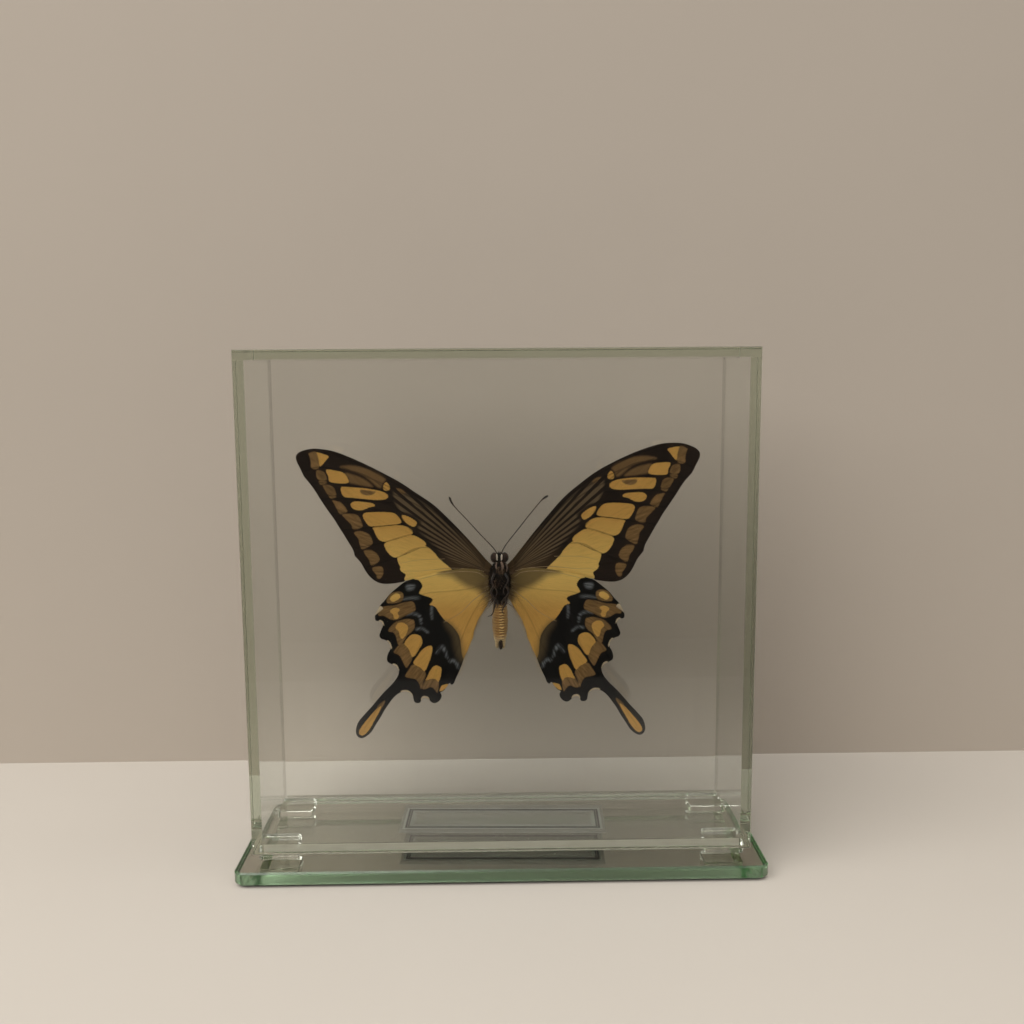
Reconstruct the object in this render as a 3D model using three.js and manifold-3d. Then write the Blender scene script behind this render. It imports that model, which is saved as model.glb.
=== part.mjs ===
// A spread swallowtail butterfly in a clear glass case that stands on a mirror-backed base.
// Millimetres, +Z up, +X to the right, +Y away from the side that shows the butterfly's underside.
// The origin is the centre of the base's underside.
import * as THREE from 'three';
import { mergeVertices } from 'three/addons/utils/BufferGeometryUtils.js';
import Module from 'manifold-3d';

const wasm = await Module();
wasm.setup();

// Base: a bevelled mirror plate on a thin black backing sheet.
const BASE_WIDTH = 160;
const BASE_DEPTH = 52;
const BASE_THICKNESS = 4;
const BASE_CORNER_RADIUS = 3.5;
const BASE_ARRIS = 0.5;
const BACKING_THICKNESS = 0.8;
const BACKING_INSET = 1.5;
const BACKING_ARRIS = 0.1;
// Case: six panes of thin float glass, glued edge to face.
const CASE_WIDTH = 150;
const CASE_DEPTH = 42;
const CASE_HEIGHT = 150;
const PANE = 2.8;
const PANE_ARRIS = 0.1;
const GLUE_LINE = 0.05;
// Feet: four small glass blocks between the base and the case.
const FOOT_WIDTH = 12;
const FOOT_DEPTH = 8.4;
const FOOT_HEIGHT = 3.2;
const FOOT_ARRIS = 0.35;
const FOOT_INSET_X = 1;
const FOOT_INSET_Y = 3.4;
// Label: a printed film under the bottom pane.
const LABEL_LENGTH = 64.5;
const LABEL_WIDTH = 21;
const LABEL_THICKNESS = 0.15;
const LABEL_ARRIS = 0.02;
const LABEL_X = 0.4;
const LABEL_TURN = THREE.MathUtils.degToRad(-1.8);
// Butterfly: heights are above the underside of the base.
const WING_THICKNESS = 0.4;
const WING_RISE = THREE.MathUtils.degToRad(3);
const FOREWING_Y = -0.4;
const HINDWING_Y = -1.3;
const WING_ROOT = 4.0;
const VEIN_RADIUS = 0.34;
const BODY_Y = -2.6;
const THORAX = { z: 86.6, rx: 3.4, ry: 4.2, rz: 7.2 };
const HEAD = { z: 94.5, rx: 1.7, ry: 1.9, rz: 1.9 };
const EYE = { x: 1.75, z: 94.6, r: 1.3 };
const HEAD_FORWARD = 0.2;
const EYE_FORWARD = 0.4;
const EYE_STRETCH = 1.2;
const ROD_RADIUS = 0.8;
const ROD_GAP = 0.3;

const baseTop = BACKING_THICKNESS + BASE_THICKNESS;
const caseBottom = baseTop + FOOT_HEIGHT;
const caseTop = caseBottom + CASE_HEIGHT;

const material = (color, roughness, metalness = 0) =>
  new THREE.MeshStandardMaterial({ color, roughness, metalness });
const glass = () => material(0xa9b8a6, 0.04);
const baseGlass = () => material(0x7c7467, 0.05);
const backing = () => material(0x14120f, 0.6);
const film = () => material(0x8d9296, 0.35);
const wingScales = () => material(0x8a6226, 0.75);
const darkScales = () => material(0x2b2118, 0.75);
const fur = () => material(0x1e1712, 0.9);

const root = new THREE.Group();

function addMesh(name, geometry, surface, parent = root) {
  const mesh = new THREE.Mesh(geometry, surface);
  mesh.name = name;
  parent.add(mesh);
  return mesh;
}

// ---- closed solids from three.js geometry, and their joins ----

function weld(geometry) {
  const plain = geometry.clone();
  plain.deleteAttribute('normal');
  plain.deleteAttribute('uv');
  const merged = mergeVertices(plain, 1e-4);
  const index = merged.getIndex().array;
  const kept = [];
  for (let i = 0; i < index.length; i += 3) {
    const [a, b, c] = [index[i], index[i + 1], index[i + 2]];
    if (a !== b && b !== c && c !== a) kept.push(a, b, c);
  }
  merged.setIndex(kept);
  return merged;
}

function toSolid(geometry) {
  const merged = weld(geometry);
  return new wasm.Manifold(new wasm.Mesh({
    numProp: 3,
    vertProperties: new Float32Array(merged.getAttribute('position').array),
    triVerts: new Uint32Array(merged.getIndex().array),
  }));
}

function joined(geometries) {
  let whole = toSolid(geometries[0]);
  for (const piece of geometries.slice(1)) whole = whole.add(toSolid(piece));
  const { vertProperties, triVerts, numProp } = whole.getMesh();
  const positions = new Float32Array((vertProperties.length / numProp) * 3);
  for (let i = 0; i < positions.length / 3; i += 1) {
    for (let k = 0; k < 3; k += 1) positions[3 * i + k] = vertProperties[numProp * i + k];
  }
  const geometry = new THREE.BufferGeometry();
  geometry.setAttribute('position', new THREE.BufferAttribute(positions, 3));
  geometry.setIndex([...triVerts]);
  return geometry;
}

// ---- glass ----

// A sheet with chamfered rims: width along X, height along Y and thickness along Z, centred.
function sheetGeometry(width, height, thickness, arris, cornerRadius = 0) {
  const w = width / 2 - arris;
  const h = height / 2 - arris;
  const r = Math.max(cornerRadius - arris, 0);
  const outline = new THREE.Shape();
  if (r > 0) {
    outline.moveTo(-w + r, -h);
    outline.lineTo(w - r, -h);
    outline.absarc(w - r, -h + r, r, -Math.PI / 2, 0);
    outline.lineTo(w, h - r);
    outline.absarc(w - r, h - r, r, 0, Math.PI / 2);
    outline.lineTo(-w + r, h);
    outline.absarc(-w + r, h - r, r, Math.PI / 2, Math.PI);
    outline.lineTo(-w, -h + r);
    outline.absarc(-w + r, -h + r, r, Math.PI, 1.5 * Math.PI);
  } else {
    outline.moveTo(-w, -h);
    outline.lineTo(w, -h);
    outline.lineTo(w, h);
    outline.lineTo(-w, h);
  }
  const geometry = new THREE.ExtrudeGeometry(outline, {
    depth: thickness - 2 * arris,
    bevelEnabled: true,
    bevelThickness: arris,
    bevelSize: arris,
    bevelSegments: 1,
    curveSegments: 12,
  });
  geometry.translate(0, 0, -(thickness - 2 * arris) / 2);
  return geometry;
}

function addBase() {
  const sheet = sheetGeometry(
    BASE_WIDTH - 2 * BACKING_INSET,
    BASE_DEPTH - 2 * BACKING_INSET,
    BACKING_THICKNESS - GLUE_LINE,
    BACKING_ARRIS,
    BASE_CORNER_RADIUS - BACKING_INSET,
  );
  addMesh('base_backing', sheet, backing()).position.z = (BACKING_THICKNESS - GLUE_LINE) / 2;
  const plate = sheetGeometry(
    BASE_WIDTH, BASE_DEPTH, BASE_THICKNESS, BASE_ARRIS, BASE_CORNER_RADIUS);
  addMesh('base_plate', plate, baseGlass()).position.z = BACKING_THICKNESS + BASE_THICKNESS / 2;
}

function addFeet() {
  const x = CASE_WIDTH / 2 - FOOT_INSET_X - FOOT_WIDTH / 2;
  const y = CASE_DEPTH / 2 - FOOT_INSET_Y - FOOT_DEPTH / 2;
  const height = FOOT_HEIGHT - 2 * GLUE_LINE;
  for (const [end, sy] of [['front', -1], ['back', 1]]) {
    for (const [side, sx] of [['left', -1], ['right', 1]]) {
      const block = sheetGeometry(FOOT_WIDTH, FOOT_DEPTH, height, FOOT_ARRIS);
      const foot = addMesh(`foot_${end}_${side}`, block, glass());
      foot.position.set(sx * x, sy * y, baseTop + FOOT_HEIGHT / 2);
    }
  }
}

// The front and back panes cover the rest. Between them the top pane lies on the side panes,
// and the bottom pane sits between the side panes.
function addCase() {
  const innerDepth = CASE_DEPTH - 2 * PANE - 2 * GLUE_LINE;
  const innerWidth = CASE_WIDTH - 2 * PANE - 2 * GLUE_LINE;
  const sideHeight = CASE_HEIGHT - PANE - GLUE_LINE;
  for (const [name, sy] of [['pane_front', -1], ['pane_back', 1]]) {
    const sheet = sheetGeometry(CASE_WIDTH, CASE_HEIGHT, PANE, PANE_ARRIS);
    const pane = addMesh(name, sheet, glass());
    pane.rotation.x = Math.PI / 2;
    pane.position.set(0, sy * (CASE_DEPTH - PANE) / 2, caseBottom + CASE_HEIGHT / 2);
  }
  for (const [name, sx] of [['pane_left', -1], ['pane_right', 1]]) {
    const sheet = sheetGeometry(sideHeight, innerDepth, PANE, PANE_ARRIS);
    const pane = addMesh(name, sheet, glass());
    pane.rotation.y = Math.PI / 2;
    pane.position.set(sx * (CASE_WIDTH - PANE) / 2, 0, caseBottom + sideHeight / 2);
  }
  const floor = addMesh(
    'pane_bottom', sheetGeometry(innerWidth, innerDepth, PANE, PANE_ARRIS), glass());
  floor.position.z = caseBottom + PANE / 2;
  const lid = addMesh(
    'pane_top', sheetGeometry(CASE_WIDTH, innerDepth, PANE, PANE_ARRIS), glass());
  lid.position.z = caseTop - PANE / 2;
}

function addLabel() {
  const sheet = sheetGeometry(LABEL_LENGTH, LABEL_WIDTH, LABEL_THICKNESS, LABEL_ARRIS);
  const label = addMesh('label', sheet, film());
  label.rotation.z = LABEL_TURN;
  label.position.set(LABEL_X, 0, caseBottom - GLUE_LINE - LABEL_THICKNESS / 2);
}

// ---- wings ----

// Each outline is a list of smooth runs [distance from the body, height] that meet at corners.
const FOREWING_RUNS = [
  [[WING_ROOT, 93.6], [10, 101.4], [20, 113.0], [30, 120.8], [40, 125.8], [50, 129.1],
    [57, 129.2], [61.4, 127.4], [62.3, 125.2], [60, 120.1]],
  [[60, 120.1], [57.4, 117.0], [55, 113.3], [52.6, 109.4], [49.8, 105.2]],
  [[49.8, 105.2], [47.2, 100.8], [45, 96]],
  [[45, 96], [42.4, 92], [40.3, 88.4], [37.4, 86.4], [33, 86.3], [28.5, 87.4], [20, 87.6],
    [10, 86.8], [WING_ROOT, 85.6]],
];
const HINDWING_RUNS = [
  [[WING_ROOT, 88.9], [6.5, 90.6], [10, 91.3], [14.5, 91.0], [20, 89.8], [25, 88.3],
    [29.5, 87], [33.8, 83.6], [36.8, 80.2], [39, 76.2], [38.4, 74.7], [36.8, 74]],
  [[36.8, 74], [37.7, 70.4], [37.2, 69], [34.8, 67.8]],
  [[34.8, 67.8], [34.5, 65.6], [35.6, 62.6], [34.6, 60.9], [32.6, 59.9]],
  [[32.6, 59.9], [32.1, 57.6], [34.6, 53.8], [41, 46.7], [45.4, 41.6], [45.9, 38.1], [44.2, 36.6],
    [41, 38.8], [36.7, 45.9], [33.4, 50.3], [30.4, 51.9], [27.7, 50.5]],
  [[27.7, 50.5], [27.1, 48.5], [25.4, 48.4], [24.6, 49.8]],
  [[24.6, 49.8], [22.7, 49.7]],
  [[22.7, 49.7], [21, 48.2], [18.9, 49.5], [19, 51.8]],
  [[19, 51.8], [16.2, 54.4]],
  [[16.2, 54.4], [14.6, 54.8], [12.1, 60.7], [10.2, 65.3], [8.1, 71.6], [WING_ROOT, 79.8]],
];
const FOREWING_VEINS = [
  [[4.4, 92.6], [24, 114.6], [47, 126.6]],
  [[4.4, 91.8], [20, 108.6], [34.6, 117.6]],
  [[34.6, 117.6], [45, 122.6], [55.6, 123.2]],
  [[33.2, 116.2], [42, 119.2], [56.6, 119.6]],
  [[32, 113.6], [40, 115.0], [52.6, 114.6]],
  [[31, 110.6], [38, 111.4], [49.6, 109.6]],
  [[29.6, 107.2], [36, 106.2], [46.6, 104.4]],
  [[26.4, 104.0], [33, 101.4], [43, 98.2]],
  [[4.8, 88.4], [16, 97.4], [31, 110.6]],
  [[19.6, 98.8], [27, 98.4], [39.6, 92.4]],
  [[4.8, 87.4], [16, 91.2], [37.2, 89.4]],
];
const HINDWING_VEINS = [
  [[4.8, 88.2], [12, 88.8], [35, 80.6]],
  [[4.8, 86.2], [14, 84.4], [24.6, 81.2]],
  [[24.6, 81.2], [30, 79.2], [36.4, 75.8]],
  [[24.6, 81.2], [25, 78.6], [23.4, 74.2]],
  [[23.9, 75.2], [30, 71.2], [35, 69.4]],
  [[23.4, 74.2], [28, 68], [33.4, 61.6]],
  [[4.8, 84.0], [12, 77.4], [23.4, 74.2]],
  [[19, 75.2], [24, 67.2], [30.6, 54.6]],
  [[14.4, 76.4], [19.4, 66.4], [25.2, 51.6]],
  [[4.8, 82.2], [11.6, 70.4], [18.8, 53.4]],
];
const TAIL_VEIN = [[30.6, 54.6], [37.4, 48], [44.2, 38.6]];

// The left forewing was set with its front edge drawn back by up to this much.
const LEFT_DRAWN_BACK = 3;
const FOREWING_REAR = 88;
const FOREWING_CHORD = 30;
const FOREWING_SPAN = 62;

function settle([u, z], side, isForewing) {
  if (side > 0 || !isForewing) return [side * u, z];
  const along = Math.sin(Math.PI * Math.min(u / FOREWING_SPAN, 1));
  const forward = THREE.MathUtils.clamp((z - FOREWING_REAR) / FOREWING_CHORD, 0, 1);
  return [side * u, z - LEFT_DRAWN_BACK * along * forward];
}

function wingShape(runs, side, isForewing) {
  const points = [];
  for (const run of runs) {
    const corners = run.map((p) => new THREE.Vector2(...settle(p, side, isForewing)));
    const smooth = new THREE.SplineCurve(corners).getPoints(2 * (run.length - 1));
    points.push(...smooth.slice(0, -1));
  }
  const last = runs[runs.length - 1];
  points.push(new THREE.Vector2(...settle(last[last.length - 1], side, isForewing)));
  return new THREE.Shape(points);
}

// A vein is a four-sided rib that stands a little proud of both faces of the wing.
function veinGeometry(points, side, isForewing) {
  const [a, b, c] = points.map((p) => {
    const [x, z] = settle(p, side, isForewing);
    return new THREE.Vector3(x, z, 0);
  });
  const section = new THREE.Shape([
    new THREE.Vector2(VEIN_RADIUS, 0),
    new THREE.Vector2(0, VEIN_RADIUS),
    new THREE.Vector2(-VEIN_RADIUS, 0),
    new THREE.Vector2(0, -VEIN_RADIUS),
  ]);
  const path = new THREE.CatmullRomCurve3([a, b, c]);
  return new THREE.ExtrudeGeometry(section, { steps: 4, extrudePath: path });
}

function wingGeometry(runs, veins, side, isForewing) {
  const plate = new THREE.ExtrudeGeometry(
    wingShape(runs, side, isForewing), { depth: WING_THICKNESS, bevelEnabled: false });
  plate.translate(0, 0, -WING_THICKNESS / 2);
  const wing = joined([plate, ...veins.map((v) => veinGeometry(v, side, isForewing))]);
  wing.rotateX(Math.PI / 2);
  return wing;
}

function addWings() {
  for (const [name, side] of [['left', -1], ['right', 1]]) {
    const fore = wingGeometry(FOREWING_RUNS, FOREWING_VEINS, side, true);
    const hind = wingGeometry(HINDWING_RUNS, [...HINDWING_VEINS, TAIL_VEIN], side, false);
    for (const [kind, geometry, y, scales] of [
      ['forewing', fore, FOREWING_Y, darkScales()],
      ['hindwing', hind, HINDWING_Y, wingScales()],
    ]) {
      const wing = addMesh(`${kind}_${name}`, geometry, scales);
      wing.rotation.z = side * WING_RISE;
      wing.position.y = y;
    }
  }
}

// ---- body, with the head, legs and antennae that grow from it ----

function ellipsoid(x, y, z, rx, ry, rz, around = 16, along = 12) {
  const ball = new THREE.SphereGeometry(1, around, along);
  ball.rotateX(Math.PI / 2);
  ball.scale(rx, ry, rz);
  ball.translate(x, y, z);
  return ball;
}

// The abdomen's half widths by height, with a shallow waist between its rings.
const ABDOMEN = [
  [0, 66.2], [0.9, 66.5], [1.35, 67.4], [1.6, 68.2], [1.5, 68.5], [1.95, 69.4], [2.1, 70.6],
  [1.98, 70.9], [2.3, 72.0], [2.4, 73.1], [2.26, 73.4], [2.45, 74.6], [2.45, 75.7], [2.3, 76.0],
  [2.4, 77.1], [2.35, 78.2], [2.2, 78.5], [2.2, 79.6], [1.9, 81.4], [0, 83],
];
const ABDOMEN_DEPTH_SCALE = 1.15;
const ABDOMEN_Y = -2.2;

function abdomenGeometry() {
  const profile = ABDOMEN.map(([r, z]) => new THREE.Vector2(r, z));
  const tube = new THREE.LatheGeometry(profile, 14);
  tube.rotateX(Math.PI / 2);
  tube.scale(1, ABDOMEN_DEPTH_SCALE, 1);
  tube.translate(0, ABDOMEN_Y, 0);
  return tube;
}

function strand(points, radius, sides, steps) {
  const corners = [];
  for (let i = 0; i < sides; i += 1) {
    const a = (2 * Math.PI * i) / sides;
    corners.push(new THREE.Vector2(radius * Math.cos(a), radius * Math.sin(a)));
  }
  const path = new THREE.CatmullRomCurve3(points.map((p) => new THREE.Vector3(...p)));
  return new THREE.ExtrudeGeometry(new THREE.Shape(corners), { steps, extrudePath: path });
}

const ANTENNA_LEFT = [
  [-0.6, -3.2, 95.6], [-2.0, -3.3, 98.2], [-6.0, -3.3, 102.5], [-10.0, -3.2, 107.0],
  [-13.3, -3.2, 110.5], [-14.6, -3.2, 112.4],
];
const ANTENNA_RIGHT = [
  [0.4, -3.2, 95.6], [2.0, -3.3, 99.0], [6.0, -3.3, 104.1], [10.0, -3.2, 109.1],
  [12.4, -3.2, 112.0], [13.9, -3.2, 113.4],
];
const CLUB_LEFT = [[-14.0, -3.2, 111.4], [-14.7, -3.2, 112.7], [-15.1, -3.2, 114.0]];
const CLUB_RIGHT = [[13.0, -3.2, 112.6], [13.9, -3.2, 113.4], [15.0, -3.2, 114.1]];
const ANTENNA_RADIUS = 0.22;
const CLUB_RADIUS = 0.4;

// Dried legs lie folded on the chest, and one hind leg sticks out to the left.
const LEG_RADIUS = 0.28;
const LEGS = [
  [[-1.6, -5.6, 90.6], [-2.5, -6.8, 88.2], [-0.9, -7.5, 85.4], [-1.3, -7.4, 83.6]],
  [[1.6, -5.6, 90.6], [2.5, -6.8, 88.6], [1.1, -7.5, 85.8], [1.4, -7.4, 84.2]],
  [[-1.8, -5.8, 86.8], [-2.7, -6.7, 84.6], [-0.7, -7.2, 81.6], [-1.0, -6.4, 79.8]],
  [[1.8, -5.8, 86.8], [2.7, -6.7, 84.9], [0.7, -7.2, 82.0], [1.2, -6.6, 80.4]],
  [[1.4, -5.2, 83.0], [1.9, -5.9, 81.4], [0.7, -5.9, 79.2], [1.0, -5.7, 77.6]],
  [[-1.4, -5.2, 83.0], [-1.7, -5.8, 80.4], [-2.1, -5.5, 78.4], [-2.8, -5.2, 77.4],
    [-3.8, -5.0, 77.0]],
];
const PALPS = [
  [[-0.6, -4.2, 92.8], [-0.7, -5.0, 94.4], [-0.5, -4.9, 96.0]],
  [[0.6, -4.2, 92.8], [0.7, -5.0, 94.4], [0.5, -4.9, 96.0]],
];
const PALP_RADIUS = 0.5;

function addBody() {
  const strands = [
    strand(ANTENNA_LEFT, ANTENNA_RADIUS, 5, 10),
    strand(ANTENNA_RIGHT, ANTENNA_RADIUS, 5, 10),
    strand(CLUB_LEFT, CLUB_RADIUS, 6, 3),
    strand(CLUB_RIGHT, CLUB_RADIUS, 6, 3),
    ...LEGS.map((leg) => strand(leg, LEG_RADIUS, 5, 7)),
    ...PALPS.map((palp) => strand(palp, PALP_RADIUS, 6, 4)),
  ];
  const solids = [
    ellipsoid(0, BODY_Y, THORAX.z, THORAX.rx, THORAX.ry, THORAX.rz),
    abdomenGeometry(),
    ellipsoid(0, BODY_Y - HEAD_FORWARD, HEAD.z, HEAD.rx, HEAD.ry, HEAD.rz, 12, 8),
    ellipsoid(-EYE.x, BODY_Y - EYE_FORWARD, EYE.z, EYE.r, EYE.r, EYE_STRETCH * EYE.r, 10, 8),
    ellipsoid(EYE.x, BODY_Y - EYE_FORWARD, EYE.z, EYE.r, EYE.r, EYE_STRETCH * EYE.r, 10, 8),
  ];
  addMesh('body', joined([...solids, ...strands]), fur());
}

// A clear rod from the back of the thorax to the back pane carries the butterfly.
function addSupportRod() {
  const start = BODY_Y + THORAX.ry + ROD_GAP;
  const end = CASE_DEPTH / 2 - PANE - GLUE_LINE;
  const rod = addMesh(
    'support_rod', new THREE.CylinderGeometry(ROD_RADIUS, ROD_RADIUS, end - start, 12), glass());
  rod.position.set(0, (start + end) / 2, THORAX.z);
}

addBase();
addFeet();
addCase();
addLabel();
addWings();
addBody();
addSupportRod();

export default root;
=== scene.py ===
"""A spread swallowtail butterfly, underside forward, in a clear glass case on a mirror-backed base.

Millimetres in the sizes below, metres in the meshes, +Z up, +Y away from the butterfly's underside.
"""
import logging
import math
import random
from dataclasses import dataclass, field, replace
from enum import Enum

import bmesh
import bpy
import numpy as np
from mathutils import Matrix, Vector, noise


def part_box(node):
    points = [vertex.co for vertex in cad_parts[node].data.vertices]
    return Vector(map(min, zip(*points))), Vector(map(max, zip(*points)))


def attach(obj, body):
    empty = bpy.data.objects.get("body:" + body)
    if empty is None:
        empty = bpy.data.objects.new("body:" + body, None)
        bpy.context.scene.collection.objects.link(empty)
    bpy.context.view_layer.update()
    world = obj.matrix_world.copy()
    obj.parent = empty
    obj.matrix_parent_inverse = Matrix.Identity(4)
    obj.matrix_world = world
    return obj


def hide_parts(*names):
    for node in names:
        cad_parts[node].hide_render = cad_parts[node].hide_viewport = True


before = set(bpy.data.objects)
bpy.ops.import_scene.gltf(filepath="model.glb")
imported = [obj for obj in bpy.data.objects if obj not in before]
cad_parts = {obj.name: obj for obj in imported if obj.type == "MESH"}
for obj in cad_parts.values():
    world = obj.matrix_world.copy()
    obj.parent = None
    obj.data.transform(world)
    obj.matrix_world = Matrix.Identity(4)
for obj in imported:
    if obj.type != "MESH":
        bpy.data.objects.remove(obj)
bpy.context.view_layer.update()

MM = 0.001
SAME = 1e-6  # two lengths in metres that differ by less are the same
MIX_FIRST = 6  # the colour sockets of a Mix node, by number
MIX_SECOND = 7
MIX_RESULT = 2
log = logging.getLogger("butterfly")

Point = tuple[float, float]
Loop = list[Point]
Colour = tuple[float, float, float]


# ---------------------------------------------------------------- shader maths


class Field:
    """A shader value that Python's arithmetic turns into Math nodes."""

    def __init__(self, graph: "ShaderGraph", socket: bpy.types.NodeSocket) -> None:
        """Wraps one output socket of a graph."""
        self.graph = graph
        self.socket = socket

    def math(self, operation: str, *others: "Field | float") -> "Field":
        """The result of a Math node whose first value is this field.

        Args:
            operation: the Math node's operation.
            others: its second and third values, if it has them.

        Returns:
            The node's result.
        """
        inputs = {0: self, **{i + 1: other for i, other in enumerate(others)}}
        return self.graph.node("ShaderNodeMath", {"operation": operation}, inputs)

    def __add__(self, other: "Field | float") -> "Field":
        """self + other."""
        return self.math("ADD", other)

    def __sub__(self, other: "Field | float") -> "Field":
        """self - other."""
        return self.math("SUBTRACT", other)

    def __mul__(self, other: "Field | float") -> "Field":
        """self * other."""
        return self.math("MULTIPLY", other)

    def __rsub__(self, other: float) -> "Field":
        """other - self."""
        return (self * -1.0).math("ADD", other)

    __radd__ = __add__
    __rmul__ = __mul__

    def sin(self) -> "Field":
        """The sine of this field."""
        return self.math("SINE")

    def abs(self) -> "Field":
        """The size of this field without its sign."""
        return self.math("ABSOLUTE")

    def low(self, other: "Field | float") -> "Field":
        """The smaller of the two."""
        return self.math("MINIMUM", other)

    def high(self, other: "Field | float") -> "Field":
        """The larger of the two."""
        return self.math("MAXIMUM", other)

    def length(self, other: "Field") -> "Field":
        """The distance whose two legs are this field and the other."""
        return (self * self + other * other).math("SQRT")

    def step(self, start: float, end: float) -> "Field":
        """Rises smoothly from 0 at start to 1 at end.

        Args:
            start: the value where the rise begins; it may lie above end for a fall.
            end: the value where the rise is complete.

        Returns:
            A field between 0 and 1.
        """
        low, high = (start, end) if start < end else (end, start)
        inputs = {"Value": self, "From Min": low, "From Max": high}
        rise = self.graph.node("ShaderNodeMapRange", {"interpolation_type": "SMOOTHSTEP"}, inputs)
        return rise if start < end else 1.0 - rise

    def step_mm(self, rise: Point) -> "Field":
        """Rises smoothly from 0 to 1 between two lengths in millimetres."""
        return self.step(rise[0] * MM, rise[1] * MM)


class ShaderGraph:
    """A material's nodes, with one method that adds any node."""

    def __init__(self, owner: bpy.types.Material | bpy.types.World) -> None:
        """Clears the node tree of a material or a world, and leaves only its output."""
        owner.use_nodes = True
        self.tree = owner.node_tree
        self.tree.nodes.clear()
        kind = "World" if isinstance(owner, bpy.types.World) else "Material"
        self.output = self.tree.nodes.new(f"ShaderNodeOutput{kind}")

    def add(self, kind: str, settings: dict | None = None, inputs: dict | None = None) -> bpy.types.Node:
        """Adds a node.

        Args:
            kind: the node's type.
            settings: the node's own properties, set first.
            inputs: socket name or number, with a number, a colour, a vector or a field.

        Returns:
            The new node.
        """
        made = self.tree.nodes.new(kind)
        for key, value in (settings or {}).items():
            setattr(made, key, value)
        for key, value in (inputs or {}).items():
            if isinstance(value, Field):
                self.tree.links.new(value.socket, made.inputs[key])
            else:
                made.inputs[key].default_value = value
        return made

    def node(self, kind: str, settings: dict | None = None, inputs: dict | None = None,
             output: int | str = 0) -> Field:
        """Adds a node and gives one of its outputs as a field."""
        return Field(self, self.add(kind, settings, inputs).outputs[output])

    def mix(self, share: Field | float, first: Field | Colour, second: Field | Colour) -> Field:
        """Blends two colours: the first where share is 0, the second where it is 1.

        Args:
            share: how much of the second colour shows.
            first: the first colour.
            second: the second colour.

        Returns:
            The blended colour.
        """
        inputs = {0: share, MIX_FIRST: rgba(first), MIX_SECOND: rgba(second)}
        return self.node("ShaderNodeMix", {"data_type": "RGBA"}, inputs, MIX_RESULT)

    def plain(self, colour: Colour) -> Field:
        """One colour as a field."""
        return self.mix(0.0, colour, colour)

    def shade(self, colour: Field, amount: Field) -> Field:
        """Multiplies a colour by a field."""
        inputs = {0: colour, "Scale": amount}
        return self.node("ShaderNodeVectorMath", {"operation": "SCALE"}, inputs)

    def coords(self) -> Field:
        """Object coordinates, in metres."""
        return self.node("ShaderNodeTexCoord", output="Object")

    def split(self, vector: Field) -> tuple[Field, Field, Field]:
        """The three parts of a vector."""
        parts = self.add("ShaderNodeSeparateXYZ", None, {0: vector})
        return tuple(Field(self, parts.outputs[i]) for i in range(3))

    def join(self, x: Field | float, y: Field | float, z: Field | float) -> Field:
        """A vector of three parts."""
        return self.node("ShaderNodeCombineXYZ", None, {0: x, 1: y, 2: z})

    def noise(self, where: Field, scale: float, detail: float = 2.0, rough: float = 0.5) -> Field:
        """Soft noise about 0.5, whose features are about 1 / scale of the coordinates' unit.

        Args:
            where: the coordinates.
            scale: how fine it is.
            detail: how many finer layers it has.
            rough: how strong the finer layers are.

        Returns:
            A field about 0.5.
        """
        inputs = {"Vector": where, "Scale": scale, "Detail": detail, "Roughness": rough}
        return self.node("ShaderNodeTexNoise", None, inputs)

    def attribute(self, name: str) -> Field:
        """A number that the mesh carries at its vertices."""
        return self.node("ShaderNodeAttribute", {"attribute_name": name}, output="Fac")

    def bump(self, height: Field, depth: float) -> Field:
        """A normal bent by a height of 0 to 1 that stands for depth metres.

        Args:
            height: the height.
            depth: what a height of 1 stands for, in metres.

        Returns:
            The bent normal.
        """
        inputs = {"Height": height, "Distance": depth, "Strength": 1.0}
        return self.node("ShaderNodeBump", None, inputs)

    def surface(self, **sockets: "Field | float | Colour") -> bpy.types.Node:
        """Adds the Principled shader and joins it to the output.

        Args:
            sockets: Principled sockets by their names, with underscores for spaces.

        Returns:
            The shader node.
        """
        inputs = {}
        for key, value in sockets.items():
            inputs[key.replace("_", " ")] = rgba(value)
        shader = self.add("ShaderNodeBsdfPrincipled", None, inputs)
        self.tree.links.new(shader.outputs[0], self.output.inputs["Surface"])
        return shader

    def absorb(self, colour: Colour, density: float) -> None:
        """Fills the piece with plain absorption.

        Args:
            colour: the colour that passes.
            density: how much is absorbed in each metre.
        """
        inputs = {"Color": rgba(colour), "Density": density}
        volume = self.add("ShaderNodeVolumeAbsorption", None, inputs)
        self.tree.links.new(volume.outputs[0], self.output.inputs["Volume"])


def rgba(value: "Field | float | Colour") -> "Field | float | tuple":
    """A colour with its alpha of 1; anything else as it is."""
    return (*value, 1.0) if isinstance(value, tuple) and len(value) == 3 else value


@dataclass(frozen=True)
class Finish:
    """One finish of the object. Each kind paints its own nodes."""

    name: str

    def paint(self, graph: ShaderGraph) -> None:
        """Adds the finish's nodes to the graph."""
        raise NotImplementedError

    def build(self) -> bpy.types.Material:
        """The finished material."""
        material = bpy.data.materials.new(self.name)
        self.paint(ShaderGraph(material))
        return material


# ---------------------------------------------------------------- finishes of the case


GROUND = "ground"  # the mesh attribute that is 1 on a ground arris of the glass


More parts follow.
